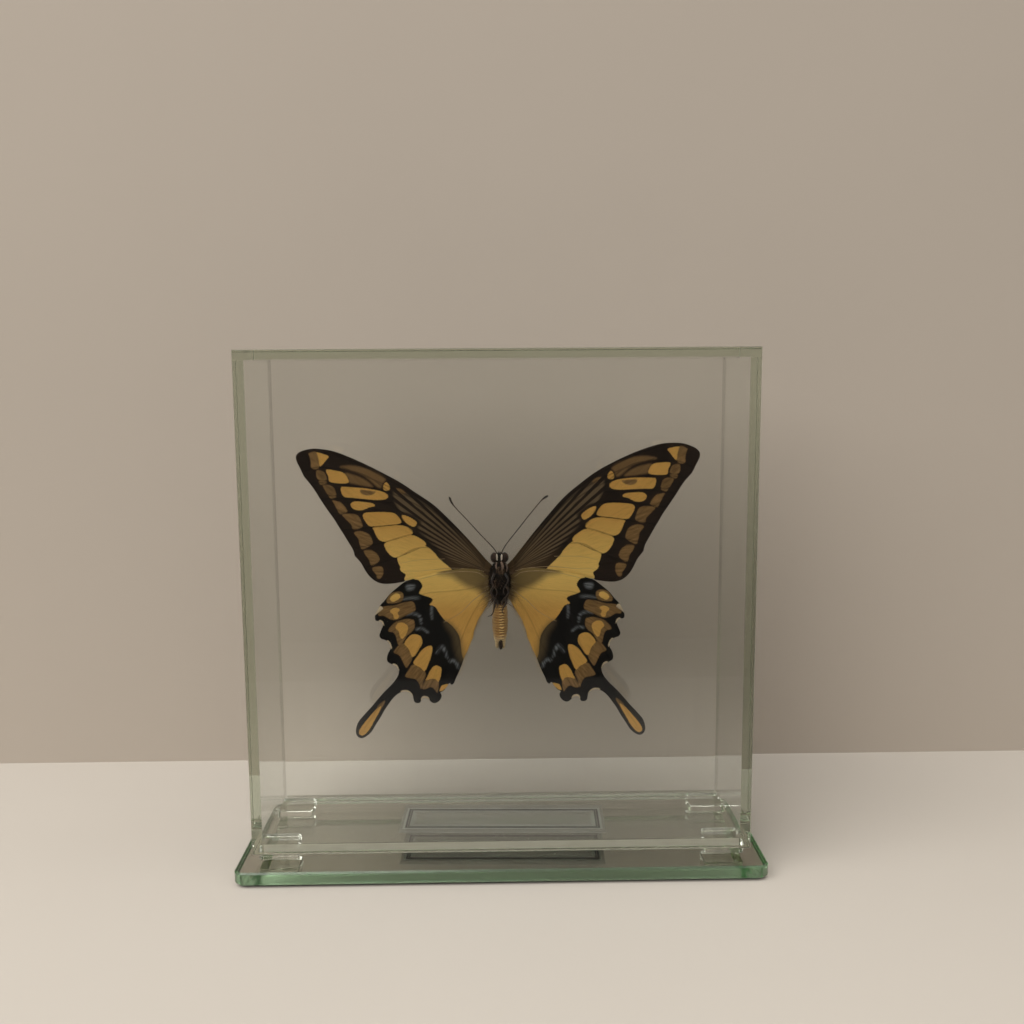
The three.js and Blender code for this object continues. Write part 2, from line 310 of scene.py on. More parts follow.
@dataclass(frozen=True)
class FloatGlass(Finish):
    """Clear float glass, green through its thickness, with smudges, satin edges and slight waves low down."""

    tint: Colour = (0.985, 0.99, 0.985)
    bending: float = 1.52
    absorption: Colour = (0.36, 0.49, 0.23)
    density: float = 15.0
    wave: float = 0.0
    wave_scale: float = 420.0
    wave_rise: Point = (7.8, 7.3)
    smudge: float = 0.01
    smudge_scale: float = 45.0
    smudge_rise: Point = (0.52, 0.72)
    edge_half: Point = (500.0, 500.0)
    edge_rise: Point = (-0.6, -0.4)
    edge_haze: float = 0.0
    arris_haze: float = 0.0

    def paint(self, graph: ShaderGraph) -> None:
        """Clear transmission, plain absorption, a light smudge in the gloss, and satin ground edges."""
        where = graph.coords()
        rough = graph.noise(where, self.smudge_scale, 3.0).step(*self.smudge_rise) * self.smudge
        if self.arris_haze:
            rough = rough + graph.attribute(GROUND) * self.arris_haze
        if self.edge_haze:
            x, y, _ = graph.split(where)
            beyond = (x.abs() - self.edge_half[0] * MM).high(y.abs() - self.edge_half[1] * MM)
            rough = rough + beyond.step_mm(self.edge_rise) * self.edge_haze
        looks = {"Base_Color": self.tint, "Roughness": rough,
                 "IOR": self.bending, "Transmission_Weight": 1.0}
        if self.wave:
            low_down = graph.split(where)[2].step_mm(self.wave_rise)
            looks["Normal"] = graph.bump(graph.noise(where, self.wave_scale, 1.0) * low_down, self.wave)
        graph.surface(**looks)
        graph.absorb(self.absorption, self.density)


@dataclass(frozen=True)
class GroundEdge(Finish):
    """The ground edge of a pane, which stays faintly milky under the clear glue."""

    colour: Colour = (0.88, 0.85, 0.74)
    dim: Colour = (0.80, 0.77, 0.66)
    cover: float = 0.33
    grain_cover: float = 0.06
    grain_scale: float = 1500.0
    stretch: float = 0.1

    def paint(self, graph: ShaderGraph) -> None:
        """A thin matte veil with fine scratches along the pane."""
        along, depth, height = graph.split(graph.coords())
        grain = graph.noise(graph.join(along * self.stretch, depth, height), self.grain_scale, 3.0)
        graph.surface(Base_Color=graph.mix(grain, self.dim, self.colour), Roughness=0.8,
                      Specular_IOR_Level=0.1, Alpha=grain * self.grain_cover + self.cover)


@dataclass(frozen=True)
class MirrorCoat(Finish):
    """A silver coat on top of a sheet whose underside is black paint."""

    silver_rise: Point = (0.77, 0.78)
    silver: Colour = (0.76, 0.69, 0.67)
    clouding: float = 0.93
    cloud_scale: float = 60.0
    dust: Colour = (0.85, 0.83, 0.78)
    speck_scale: float = 420.0
    speck_rise: Point = (0.09, 0.05)
    drift_scale: float = 150.0
    drift_rise: Point = (0.55, 0.65)
    paint_dark: Colour = (0.012, 0.011, 0.010)
    paint_light: Colour = (0.03, 0.028, 0.026)
    paint_roughness: float = 0.55
    polish: float = 0.53
    unevenness: float = 0.015

    def paint(self, graph: ShaderGraph) -> None:
        """Silver where the sheet faces up, black paint elsewhere, and a little dust."""
        where = graph.coords()
        coat = graph.split(where)[2].step_mm(self.silver_rise)
        cloud = graph.noise(where, self.cloud_scale, 4.0)
        specks = graph.node("ShaderNodeTexVoronoi", None, {"Vector": where, "Scale": self.speck_scale})
        drift = graph.noise(where, self.drift_scale, 1.0).step(*self.drift_rise)
        dust = specks.step(*self.speck_rise) * drift
        silver = graph.mix(cloud, self.silver, tuple(self.clouding * part for part in self.silver))
        silver = graph.mix(dust, silver, self.dust)
        paint = graph.mix(cloud, self.paint_dark, self.paint_light)
        clean = coat * (1.0 - dust)
        graph.surface(Base_Color=graph.mix(coat, paint, silver), Metallic=clean,
                      Roughness=self.paint_roughness - clean * self.polish + cloud * self.unevenness)


@dataclass(frozen=True)
class PrintedFilm(Finish):
    """A pale clear film with a bare field inside a dark double border. Lengths in millimetres."""

    centre: Point = (0.4, 0.0)
    turn: float = -1.8
    half_length: float = 30.6
    half_width: float = 7.1
    outer_line: Point = (0.28, 0.60)
    inner_line: Point = (1.02, 0.50)
    inner_strength: float = 0.95
    line_blur: float = 0.05
    rim_outside: Point = (-0.9, -0.5)
    rim_inside: Point = (0.1, -0.1)
    band_outside: Point = (1.1, 1.3)
    band_inside: Point = (3.4, 1.6)
    band_strength: float = 0.6
    grain_scale: float = 900.0
    film_dim: Colour = (0.78, 0.80, 0.76)
    film: Colour = (0.88, 0.90, 0.86)
    rim: Colour = (0.84, 0.91, 0.88)
    ink: Colour = (0.008, 0.016, 0.048)
    film_cover: float = 0.31
    grain_cover: float = 0.06
    rim_cover: float = 0.26
    ink_cover: float = 0.96

    def line(self, edge: Field, line: Point) -> Field:
        """A printed line, given how far in from the border's edge it lies and its width.

        Args:
            edge: how far in from the border's edge a point lies, in metres.
            line: how far in the line lies and its width, in millimetres.

        Returns:
            1 on the line and 0 off it.
        """
        at, width = line
        half = width / 2
        return (edge - at * MM).abs().step_mm((half + self.line_blur, half - self.line_blur))

    def paint(self, graph: ShaderGraph) -> None:
        """Two border lines by the distance to the nearest side of the printed frame."""
        middle = (self.centre[0] * MM, self.centre[1] * MM, 0.0)
        inputs = {"Vector": graph.coords(), "Center": middle, "Angle": -math.radians(self.turn)}
        local = graph.node("ShaderNodeVectorRotate", {"rotation_type": "Z_AXIS"}, inputs)
        across, along, _ = graph.split(local)
        across = self.half_length * MM - (across - middle[0]).abs()
        along = self.half_width * MM - (along - middle[1]).abs()
        edge = across.low(along)
        ink = self.line(edge, self.outer_line).high(self.line(edge, self.inner_line) * self.inner_strength)
        rim = edge.step_mm(self.rim_outside) * edge.step_mm(self.rim_inside)
        band = edge.step_mm(self.band_outside) * edge.step_mm(self.band_inside)
        grain = graph.noise(local, self.grain_scale, 3.0)
        film = graph.mix(grain, self.film_dim, self.film)
        film = graph.mix(rim.high(band), film, self.rim)
        colour = graph.mix(ink, film, self.ink)
        cover = rim.high(band * self.band_strength) * self.rim_cover + grain * self.grain_cover
        graph.surface(Base_Color=colour, Roughness=grain * 0.2 + 0.3, Specular_IOR_Level=0.2,
                      Alpha=(cover + self.film_cover).high(ink * self.ink_cover))


@dataclass(frozen=True)
class MattePaint(Finish):
    """Plain studio surface with a faint mottle, and painted shade that may darken it towards the front."""

    colour: Colour = (0.6, 0.6, 0.6)
    mottle: float = 0.04
    scale: float = 9.0
    one_sided: bool = False
    # painted shade: the Y span in millimetres over which the surface darkens towards the front, and the share
    # of its brightness left at the front
    painted_shade_span: Point = (-215.0, -92.0)
    painted_shade_level: float = 1.0

    def paint(self, graph: ShaderGraph) -> None:
        """A matte colour that varies a little, may darken towards the front with painted shade, and may be
        clear from behind.
        """
        where = graph.coords()
        cloud = graph.noise(where, self.scale, 4.0)
        # painted shade towards the front, times the mottle
        unshaded = graph.split(where)[1].step_mm(self.painted_shade_span)
        light = (unshaded * (1.0 - self.painted_shade_level) + self.painted_shade_level) * (1.0 - (cloud - 0.5) * self.mottle)
        shader = graph.surface(Base_Color=graph.shade(graph.plain(self.colour), light), Roughness=0.9)
        if self.one_sided:
            behind = graph.node("ShaderNodeNewGeometry", output="Backfacing")
            clear = graph.node("ShaderNodeBsdfTransparent")
            inputs = {0: behind, 1: Field(graph, shader.outputs[0]), 2: clear}
            both = graph.node("ShaderNodeMixShader", None, inputs)
            graph.tree.links.new(both.socket, graph.output.inputs["Surface"])


# ---------------------------------------------------------------- finishes of the butterfly


class Tone(Enum):
    """The tones of the wing markings, by the mesh attribute that holds their distance."""

    YELLOW = "yellow"
    BROWN = "brown"
    OLIVE = "olive"
    BLUE = "blue"
    SMOKE = "smoke"
    CREAM = "cream"


SOFTNESS = {Tone.YELLOW: 0.13, Tone.BROWN: 0.22, Tone.OLIVE: 0.45, Tone.BLUE: 0.65,
            Tone.SMOKE: 1.6, Tone.CREAM: 0.15}
SCALE_COLOURS = {
    Tone.YELLOW: (0.640, 0.355, 0.088),
    Tone.BROWN: (0.215, 0.122, 0.046),
    Tone.OLIVE: (0.190, 0.108, 0.043),
    Tone.BLUE: (0.200, 0.212, 0.222),
    Tone.SMOKE: (0.112, 0.078, 0.038),
    Tone.CREAM: (0.600, 0.480, 0.320),
}
UV_SCALE = 100.0  # wing millimetres to one unit of the wing's UV map
WING_ROOT = (2.0, 89.5)


@dataclass(frozen=True)
class WingScales(Finish):
    """Overlapping wing scales: markings on a black-brown ground, crisp but a little ragged."""

    order: tuple[Tone, ...] = ()
    streaked: bool = False
    golden: Colour = (0.860, 0.570, 0.160)
    golden_rise: Point = (110.0, 88.0)
    ground: Colour = (0.012, 0.0068, 0.0040)
    ground_glow: float = 2.2
    warm: Colour = (0.110, 0.066, 0.028)
    warm_rise: Point = (22.0, 4.0)
    ray: Colour = (0.165, 0.112, 0.062)
    ray_rise: Point = (-0.55, 0.25)
    cell_rise: Point = (-0.3, 1.2)
    rust: Colour = (0.430, 0.220, 0.055)
    rust_rise: Point = (0.02, 0.30)
    upper_brown: Colour = (0.30, 0.19, 0.06)
    blue_rise: Point = (-0.16, 0.10)
    vein_shade: float = 0.42
    vein_rise: Point = (0.06, 0.34)
    rays_to_radian: float = 104.0
    fibres_to_radian: float = 60.0
    fibres_to_mm: float = 0.22
    fine_scale: float = 7.5
    ragged_scale: float = 3.2

    def streaks(self, graph: ShaderGraph, angle: Field, fibre: Field) -> Field:
        """Olive-grey rays between the dark veins of the wing cell, fanned about the root.

        Args:
            graph: the graph to paint in.
            angle: the angle about the wing's root, in radians.
            fibre: fine lines that run out from the root, about 0.

        Returns:
            1 on the rays and 0 off them.
        """
        fan = angle * self.rays_to_radian + fibre * 1.2
        return fan.sin().step(*self.ray_rise) * graph.attribute("cell").step(*self.cell_rise)

    def tone(self, graph: ShaderGraph, tone: Tone, cover: Field, fibre: Field, height: Field) -> tuple:
        """How much of a tone shows, and its colour.

        Args:
            graph: the graph to paint in.
            tone: the tone.
            cover: where its markings lie.
            fibre: fine lines that run out from the wing's root, about 0.
            height: the height on the wing, in millimetres.

        Returns:
            The cover, changed where the tone asks for it, and the colour.
        """
        ink = graph.plain(SCALE_COLOURS[tone])
        if tone is Tone.YELLOW:
            ink = graph.mix(height.step(*self.golden_rise), ink, self.golden)
            ink = graph.mix(fibre.step(*self.rust_rise) * 0.35, ink, self.rust)
        if tone is Tone.BROWN:
            ink = graph.mix(graph.attribute("upper"), ink, self.upper_brown)
            ink = graph.shade(ink, fibre * 1.5 + 1.02)
        if tone is Tone.BLUE:
            cover = cover * (fibre.step(*self.blue_rise) * 0.75 + 0.2)
        if tone is Tone.SMOKE:
            cover = cover * 0.85
        return cover, ink

    def paint(self, graph: ShaderGraph) -> None:
        """Layers the tones in order by their distance attributes, then adds scale texture."""
        across, up, _ = graph.split(graph.node("ShaderNodeUVMap", {"uv_map": "wing"}))
        across = across * UV_SCALE
        up = up * UV_SCALE
        plane = graph.join(across, up, 0.0)
        from_root = (across - WING_ROOT[0], up - WING_ROOT[1])
        reach = from_root[0].length(from_root[1])
        angle = from_root[1].math("ARCTAN2", from_root[0])
        lines = graph.join(angle * self.fibres_to_radian, reach * self.fibres_to_mm, 0.0)
        fibre = graph.noise(lines, 1.0, 3.0) - 0.5
        fine = graph.noise(plane, self.fine_scale, 2.0, 0.7) - 0.5
        ragged = graph.noise(plane, self.ragged_scale, 3.0, 0.6) - 0.5
        lit_ground = tuple(self.ground_glow * part for part in self.ground)
        colour = graph.mix(ragged + 0.5, self.ground, lit_ground)
        colour = graph.mix(reach.step(*self.warm_rise) * 0.8, colour, self.warm)
        if self.streaked:
            rays = self.streaks(graph, angle, fibre) * (1.0 - graph.attribute("upper") * 0.6)
            colour = graph.mix(rays * 0.9, colour, self.ray)
        for tone in self.order:
            soft = SOFTNESS[tone]
            edge = graph.attribute(tone.value) + ragged * 0.5 + fine * 0.25
            cover, ink = self.tone(graph, tone, edge.step(-soft, soft), fibre, up)
            colour = graph.mix(cover, colour, ink)
        vein = graph.attribute("vein")
        shading = vein.step(*self.vein_rise) * self.vein_shade + (1.0 - self.vein_shade)
        colour = graph.shade(graph.shade(colour, shading), fine * 0.55 + fibre * 0.55 + 1.0)
        relief = fine * 0.6 + fibre * 0.8 - vein.step(0.0, 0.8) * 0.5 + 0.5
        graph.surface(Base_Color=colour, Roughness=0.62 + fine * 0.3, Specular_IOR_Level=0.12,
                      Sheen_Weight=0.03, Sheen_Roughness=0.4,
                      Normal=graph.bump(relief, 0.10 * MM))


@dataclass(frozen=True)
class Membrane(Finish):
    """A vein, a hair, a shell or a matte paint: two close colours with fine variation."""

    colour: Colour = (0.03, 0.02, 0.014)
    other: Colour = (0.07, 0.045, 0.025)
    scale: float = 600.0
    roughness: float = 0.5
    gloss: float = 0.5

    def paint(self, graph: ShaderGraph) -> None:
        """The two colours mixed by noise."""
        cloud = graph.noise(graph.coords(), self.scale, 3.0, 0.6)
        colour = graph.mix(cloud.step(0.3, 0.7), self.colour, self.other)
        graph.surface(Base_Color=colour, Roughness=cloud * 0.2 + self.roughness,
                      Specular_IOR_Level=self.gloss, Normal=graph.bump(cloud, 0.05 * MM))


@dataclass(frozen=True)
class CompoundEye(Finish):
    """A dark brown eye of many fine facets under a soft gloss."""

    dark: Colour = (0.016, 0.007, 0.0045)
    light: Colour = (0.050, 0.023, 0.012)
    facet_scale: float = 9000.0
    blotch_scale: float = 900.0

    def paint(self, graph: ShaderGraph) -> None:
        """Facets from a cell pattern, with darker blotches that the dried eye shows."""
        where = graph.coords()
        cells = graph.node("ShaderNodeTexVoronoi", None, {"Vector": where, "Scale": self.facet_scale})
        blotch = graph.noise(where, self.blotch_scale, 2.0).step(0.4, 0.6)
        graph.surface(Base_Color=graph.mix(blotch, self.dark, self.light),
                      Roughness=0.38 + blotch * 0.15, Specular_IOR_Level=0.3,
                      Normal=graph.bump(1.0 - cells, 0.03 * MM))


@dataclass(frozen=True)
class AbdomenScales(Finish):
    """Ochre scales in rings, with brown lines across and a dull stripe down each side."""

    ring: float = 0.84
    slant: float = 0.25
    ochre: Colour = (0.300, 0.150, 0.042)
    ochre_light: Colour = (0.460, 0.235, 0.058)
    bright: Colour = (0.860, 0.600, 0.230)
    brown: Colour = (0.120, 0.045, 0.014)
    flank: Colour = (0.420, 0.270, 0.105)
    cream: Colour = (0.760, 0.610, 0.370)
    waist: Colour = (0.200, 0.130, 0.080)
    back: Colour = (0.040, 0.028, 0.016)
    dark_rise: Point = (0.2, 0.9)
    bright_rise: Point = (-0.1, -0.8)
    flank_rise: Point = (1.15, 2.0)
    back_rise: Point = (-1.6, 0.4)
    cream_rise: Point = (71.5, 68.5)
    waist_rise: Point = (79.0, 81.6)
    column_at: float = 0.5
    column_rise: Point = (1.0, 0.4)

    def paint(self, graph: ShaderGraph) -> None:
        """Ring lines by height, stripes by distance from the middle, and scale noise."""
        where = graph.coords()
        across, depth, height = graph.split(where)
        rough = graph.noise(where, 1400.0, 3.0, 0.65) - 0.5
        cloud = graph.noise(where, 520.0, 2.0) - 0.5
        slant = across * (self.slant / MM) + graph.noise(where, 900.0, 2.0) * 4.0
        rings = ((height * (2 * math.pi / (self.ring * MM))) + cloud * 5.0 + slant).sin()
        dark_ring = rings.step(*self.dark_rise)
        flank = across.abs().step_mm(self.flank_rise)
        column = (across - self.column_at * MM).abs().step_mm(self.column_rise)
        bright_share = rings.step(*self.bright_rise) * (column * 0.7 + 0.15)
        colour = graph.mix(cloud + 0.5, self.ochre, self.ochre_light)
        colour = graph.mix(bright_share, colour, self.bright)
        colour = graph.mix(dark_ring * (column * 0.5 + 0.3), colour, self.brown)
        colour = graph.mix(flank * 0.6, colour, self.flank)
        colour = graph.mix(height.step_mm(self.cream_rise) * (flank * 0.5 + 0.5), colour, self.cream)
        colour = graph.mix(height.step_mm(self.waist_rise) * 0.6, colour, self.waist)
        colour = graph.mix(depth.step_mm(self.back_rise), colour, self.back)
        colour = graph.shade(colour, rough * 0.9 + 1.0)
        graph.surface(Base_Color=colour, Roughness=0.7 + rough * 0.3, Sheen_Weight=0.15,
                      Normal=graph.bump(rough - dark_ring * 0.5 + 0.8, 0.12 * MM))


@dataclass(frozen=True)
class BodySkin(Finish):
    """Black-brown skin of the chest and head, with brown patches and bluish patches of painted sheen."""

    black: Colour = (0.004, 0.0028, 0.002)
    brown: Colour = (0.020, 0.011, 0.006)
    # bluish painted sheen, laid in patches over the skin
    painted_sheen: Colour = (0.022, 0.026, 0.034)
    brown_scale: float = 380.0
    painted_sheen_scale: float = 240.0
    scaly_scale: float = 2200.0

    def paint(self, graph: ShaderGraph) -> None:
        """Black, brown and a little bluish painted sheen, with a scaly bump."""
        where = graph.coords()
        cloud = graph.noise(where, self.brown_scale, 3.0)
        scaly = graph.noise(where, self.scaly_scale, 2.0, 0.7)
        # painted sheen: bluish patches that stand for glints on the dark skin
        painted_sheen = graph.noise(where, self.painted_sheen_scale, 1.0).step(0.58, 0.72) * 0.5
        colour = graph.mix(cloud.step(0.42, 0.62), self.black, self.brown)
        colour = graph.mix(painted_sheen, colour, self.painted_sheen)
        graph.surface(Base_Color=graph.shade(colour, scaly + 0.5), Roughness=0.45 + scaly * 0.3,
                      Specular_IOR_Level=0.2, Normal=graph.bump(scaly, 0.10 * MM))


# ---------------------------------------------------------------- geometry helpers


def curve_through(points: list[tuple[float, ...]], steps: int, closed: bool = False) -> np.ndarray:
    """A smooth curve through its points.

    Args:
        points: points of two or three coordinates.
        steps: how many pieces each span is cut into.
        closed: whether the curve runs back to its first point.

    Returns:
        An array of points along the curve. An open curve keeps its last point.
    """
    knots = np.array(points, float)
    count = len(knots)
    if closed:
        padded = np.vstack([knots[-1:], knots, knots[:2]])
        spans = count
    else:
        padded = np.vstack([2 * knots[0] - knots[1], knots, 2 * knots[-1] - knots[-2]])
        spans = count - 1
    t = np.linspace(0, 1, steps, endpoint=False)[:, None]
    runs = []
    for i in range(spans):
        a, b, c, d = padded[i:i + 4]
        bend = (2 * a - 5 * b + 4 * c - d) * t + (3 * b - a - 3 * c + d) * t * t
        runs.append(b + 0.5 * t * ((c - a) + bend))
    if not closed:
        runs.append(knots[-1:])
    return np.vstack(runs)


def nearest(spots: np.ndarray, line: np.ndarray, closed: bool = True) -> tuple[np.ndarray, np.ndarray]:
    """How far each spot lies from a line.

    Args:
        spots: points of two coordinates.
        line: points along the line.
        closed: whether the line runs back to its start, and so has an inside.

    Returns:
        The distances, positive inside a closed line and negative outside it, and the nearest points.
    """
    ends = np.roll(line, -1, axis=0)
    best = np.full(len(spots), np.inf)
    foot = spots.copy()
    inside = np.zeros(len(spots), bool)
    last = len(line) if closed else len(line) - 1
    for start, end in zip(line[:last], ends[:last]):
        span = end - start
        share = np.clip((spots - start) @ span / max(span @ span, 1e-12), 0, 1)
        touch = start + share[:, None] * span
        gap = ((spots - touch) ** 2).sum(axis=1)
        closer = gap < best
        best[closer] = gap[closer]
        foot[closer] = touch[closer]
        if closed and start[1] != end[1]:
            between = (start[1] > spots[:, 1]) != (end[1] > spots[:, 1])
            crossing = start[0] + (spots[:, 1] - start[1]) / (end[1] - start[1]) * span[0]
            inside ^= between & (spots[:, 0] < crossing)
    distance = np.sqrt(best)
    return (np.where(inside, distance, -distance) if closed else distance), foot


def markings_distance(spots: np.ndarray, outlines: list[Loop], reach: float = 3.0) -> np.ndarray:
    """The signed distance to the nearest marking, cut off at reach millimetres outside it.

    Args:
        spots: points of two coordinates, in millimetres.
        outlines: the markings' outlines.
        reach: the largest distance outside a marking that is told.

    Returns:
        The distances, positive inside a marking.
    """
    result = np.full(len(spots), -reach)
    for outline in outlines:
        loop = curve_through(outline, 5, closed=True)
        low, high = loop.min(axis=0) - reach, loop.max(axis=0) + reach
        close = ((spots > low) & (spots < high)).all(axis=1)
        if close.any():
            result[close] = np.maximum(result[close], nearest(spots[close], loop)[0])
    return result


def new_piece(name: str, mesh: bpy.types.Mesh, *finishes: Finish, slot: str = "") -> bpy.types.Object:
    """Makes an object of a mesh that is already in place, and lets it ride on the part.

    Args:
        name: the piece's name.
        mesh: the finished mesh, in metres.
        finishes: the finishes of its material slots, in order.
        slot: the record's material slot; not used.

    Returns:
        The new object.
    """
    mesh.name = name
    piece = bpy.data.objects.new(name, mesh)
    bpy.context.scene.collection.objects.link(piece)
    for finish in finishes:
        mesh.materials.append(finish_material(finish))
    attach(piece, "root")
    log.info("%s: %d faces", name, len(mesh.polygons))
    return piece


def finish_material(finish: Finish) -> bpy.types.Material:
    """The finish's material, built the first time that it is asked for."""
    return bpy.data.materials.get(finish.name) or finish.build()


class Strands:
    """Thin tapered tubes, such as hairs, legs and veins, that are built together."""

    def __init__(self, resolution: int = 0) -> None:
        """Starts with no strands. Each has four sides, or eight at resolution 1."""
        self.curve = bpy.data.curves.new("strands", "CURVE")
        self.curve.dimensions = "3D"
        self.curve.bevel_depth = 1.0
        self.curve.bevel_resolution = resolution
        self.curve.use_fill_caps = True

    def add(self, path: np.ndarray, radii: np.ndarray) -> None:
        """Adds one strand.

        Args:
            path: its points, in millimetres.
            radii: its radius at each point, in millimetres.
        """
        spline = self.curve.splines.new("POLY")
        spline.points.add(len(path) - 1)
        places = np.hstack([np.asarray(path) * MM, np.ones((len(path), 1))])
        spline.points.foreach_set("co", places.ravel())
        spline.points.foreach_set("radius", np.asarray(radii, float) * MM)

    def mesh(self) -> bpy.types.Mesh:
        """The strands as one mesh of closed tubes."""
        holder = bpy.data.objects.new("strands", self.curve)
        bpy.context.scene.collection.objects.link(holder)
        ready = holder.evaluated_get(bpy.context.evaluated_depsgraph_get())
        mesh = bpy.data.meshes.new_from_object(ready)
        bpy.data.objects.remove(holder)
        bpy.data.curves.remove(self.curve)
        mesh.shade_smooth()
        return mesh


def ball(bm: bmesh.types.BMesh, centre: tuple, radii: tuple, detail: int = 4) -> None:
    """Adds a ball stretched to three radii, in millimetres.

    Args:
        bm: what the ball joins.
        centre: its centre.
        radii: its radii along X, Y and Z.
        detail: how often its faces are cut into four.
    """
    made = bmesh.ops.create_icosphere(bm, subdivisions=detail, radius=1.0)
    size = Matrix.Diagonal((*[r * MM for r in radii], 1.0))
    place = Matrix.Translation(Vector(centre) * MM)
    bmesh.ops.transform(bm, matrix=place @ size, verts=made["verts"])


def bevel(bm: bmesh.types.BMesh, edges: list[bmesh.types.BMEdge], width: float, segments: int) -> dict:
    """Bevels edges by a width in millimetres, and gives what the operator made.

    Args:
        bm: the body.
        edges: its edges to bevel.
        width: how much is taken off, in millimetres.
        segments: how many faces stand across each bevel.

    Returns:
        The operator's result.
    """
    return bmesh.ops.bevel(bm, geom=edges, offset=width * MM, segments=segments, profile=0.5,
                           affect="EDGES", material=-1)


def all_at(verts: bmesh.types.BMElemSeq, height: float) -> bool:
    """Whether all of these vertices lie at a height in metres."""
    return all(abs(vert.co.z - height) < SAME for vert in verts)


def bm_mesh(bm: bmesh.types.BMesh, name: str) -> bpy.types.Mesh:
    """Turns a bmesh into a smooth-shaded mesh and frees it.

    Args:
        bm: the bmesh.
        name: the mesh's name.

    Returns:
        The new mesh.
    """
    mesh = bpy.data.meshes.new(name)
    bm.to_mesh(mesh)
    bm.free()
    mesh.shade_smooth()
    return mesh


# ---------------------------------------------------------------- case and stage


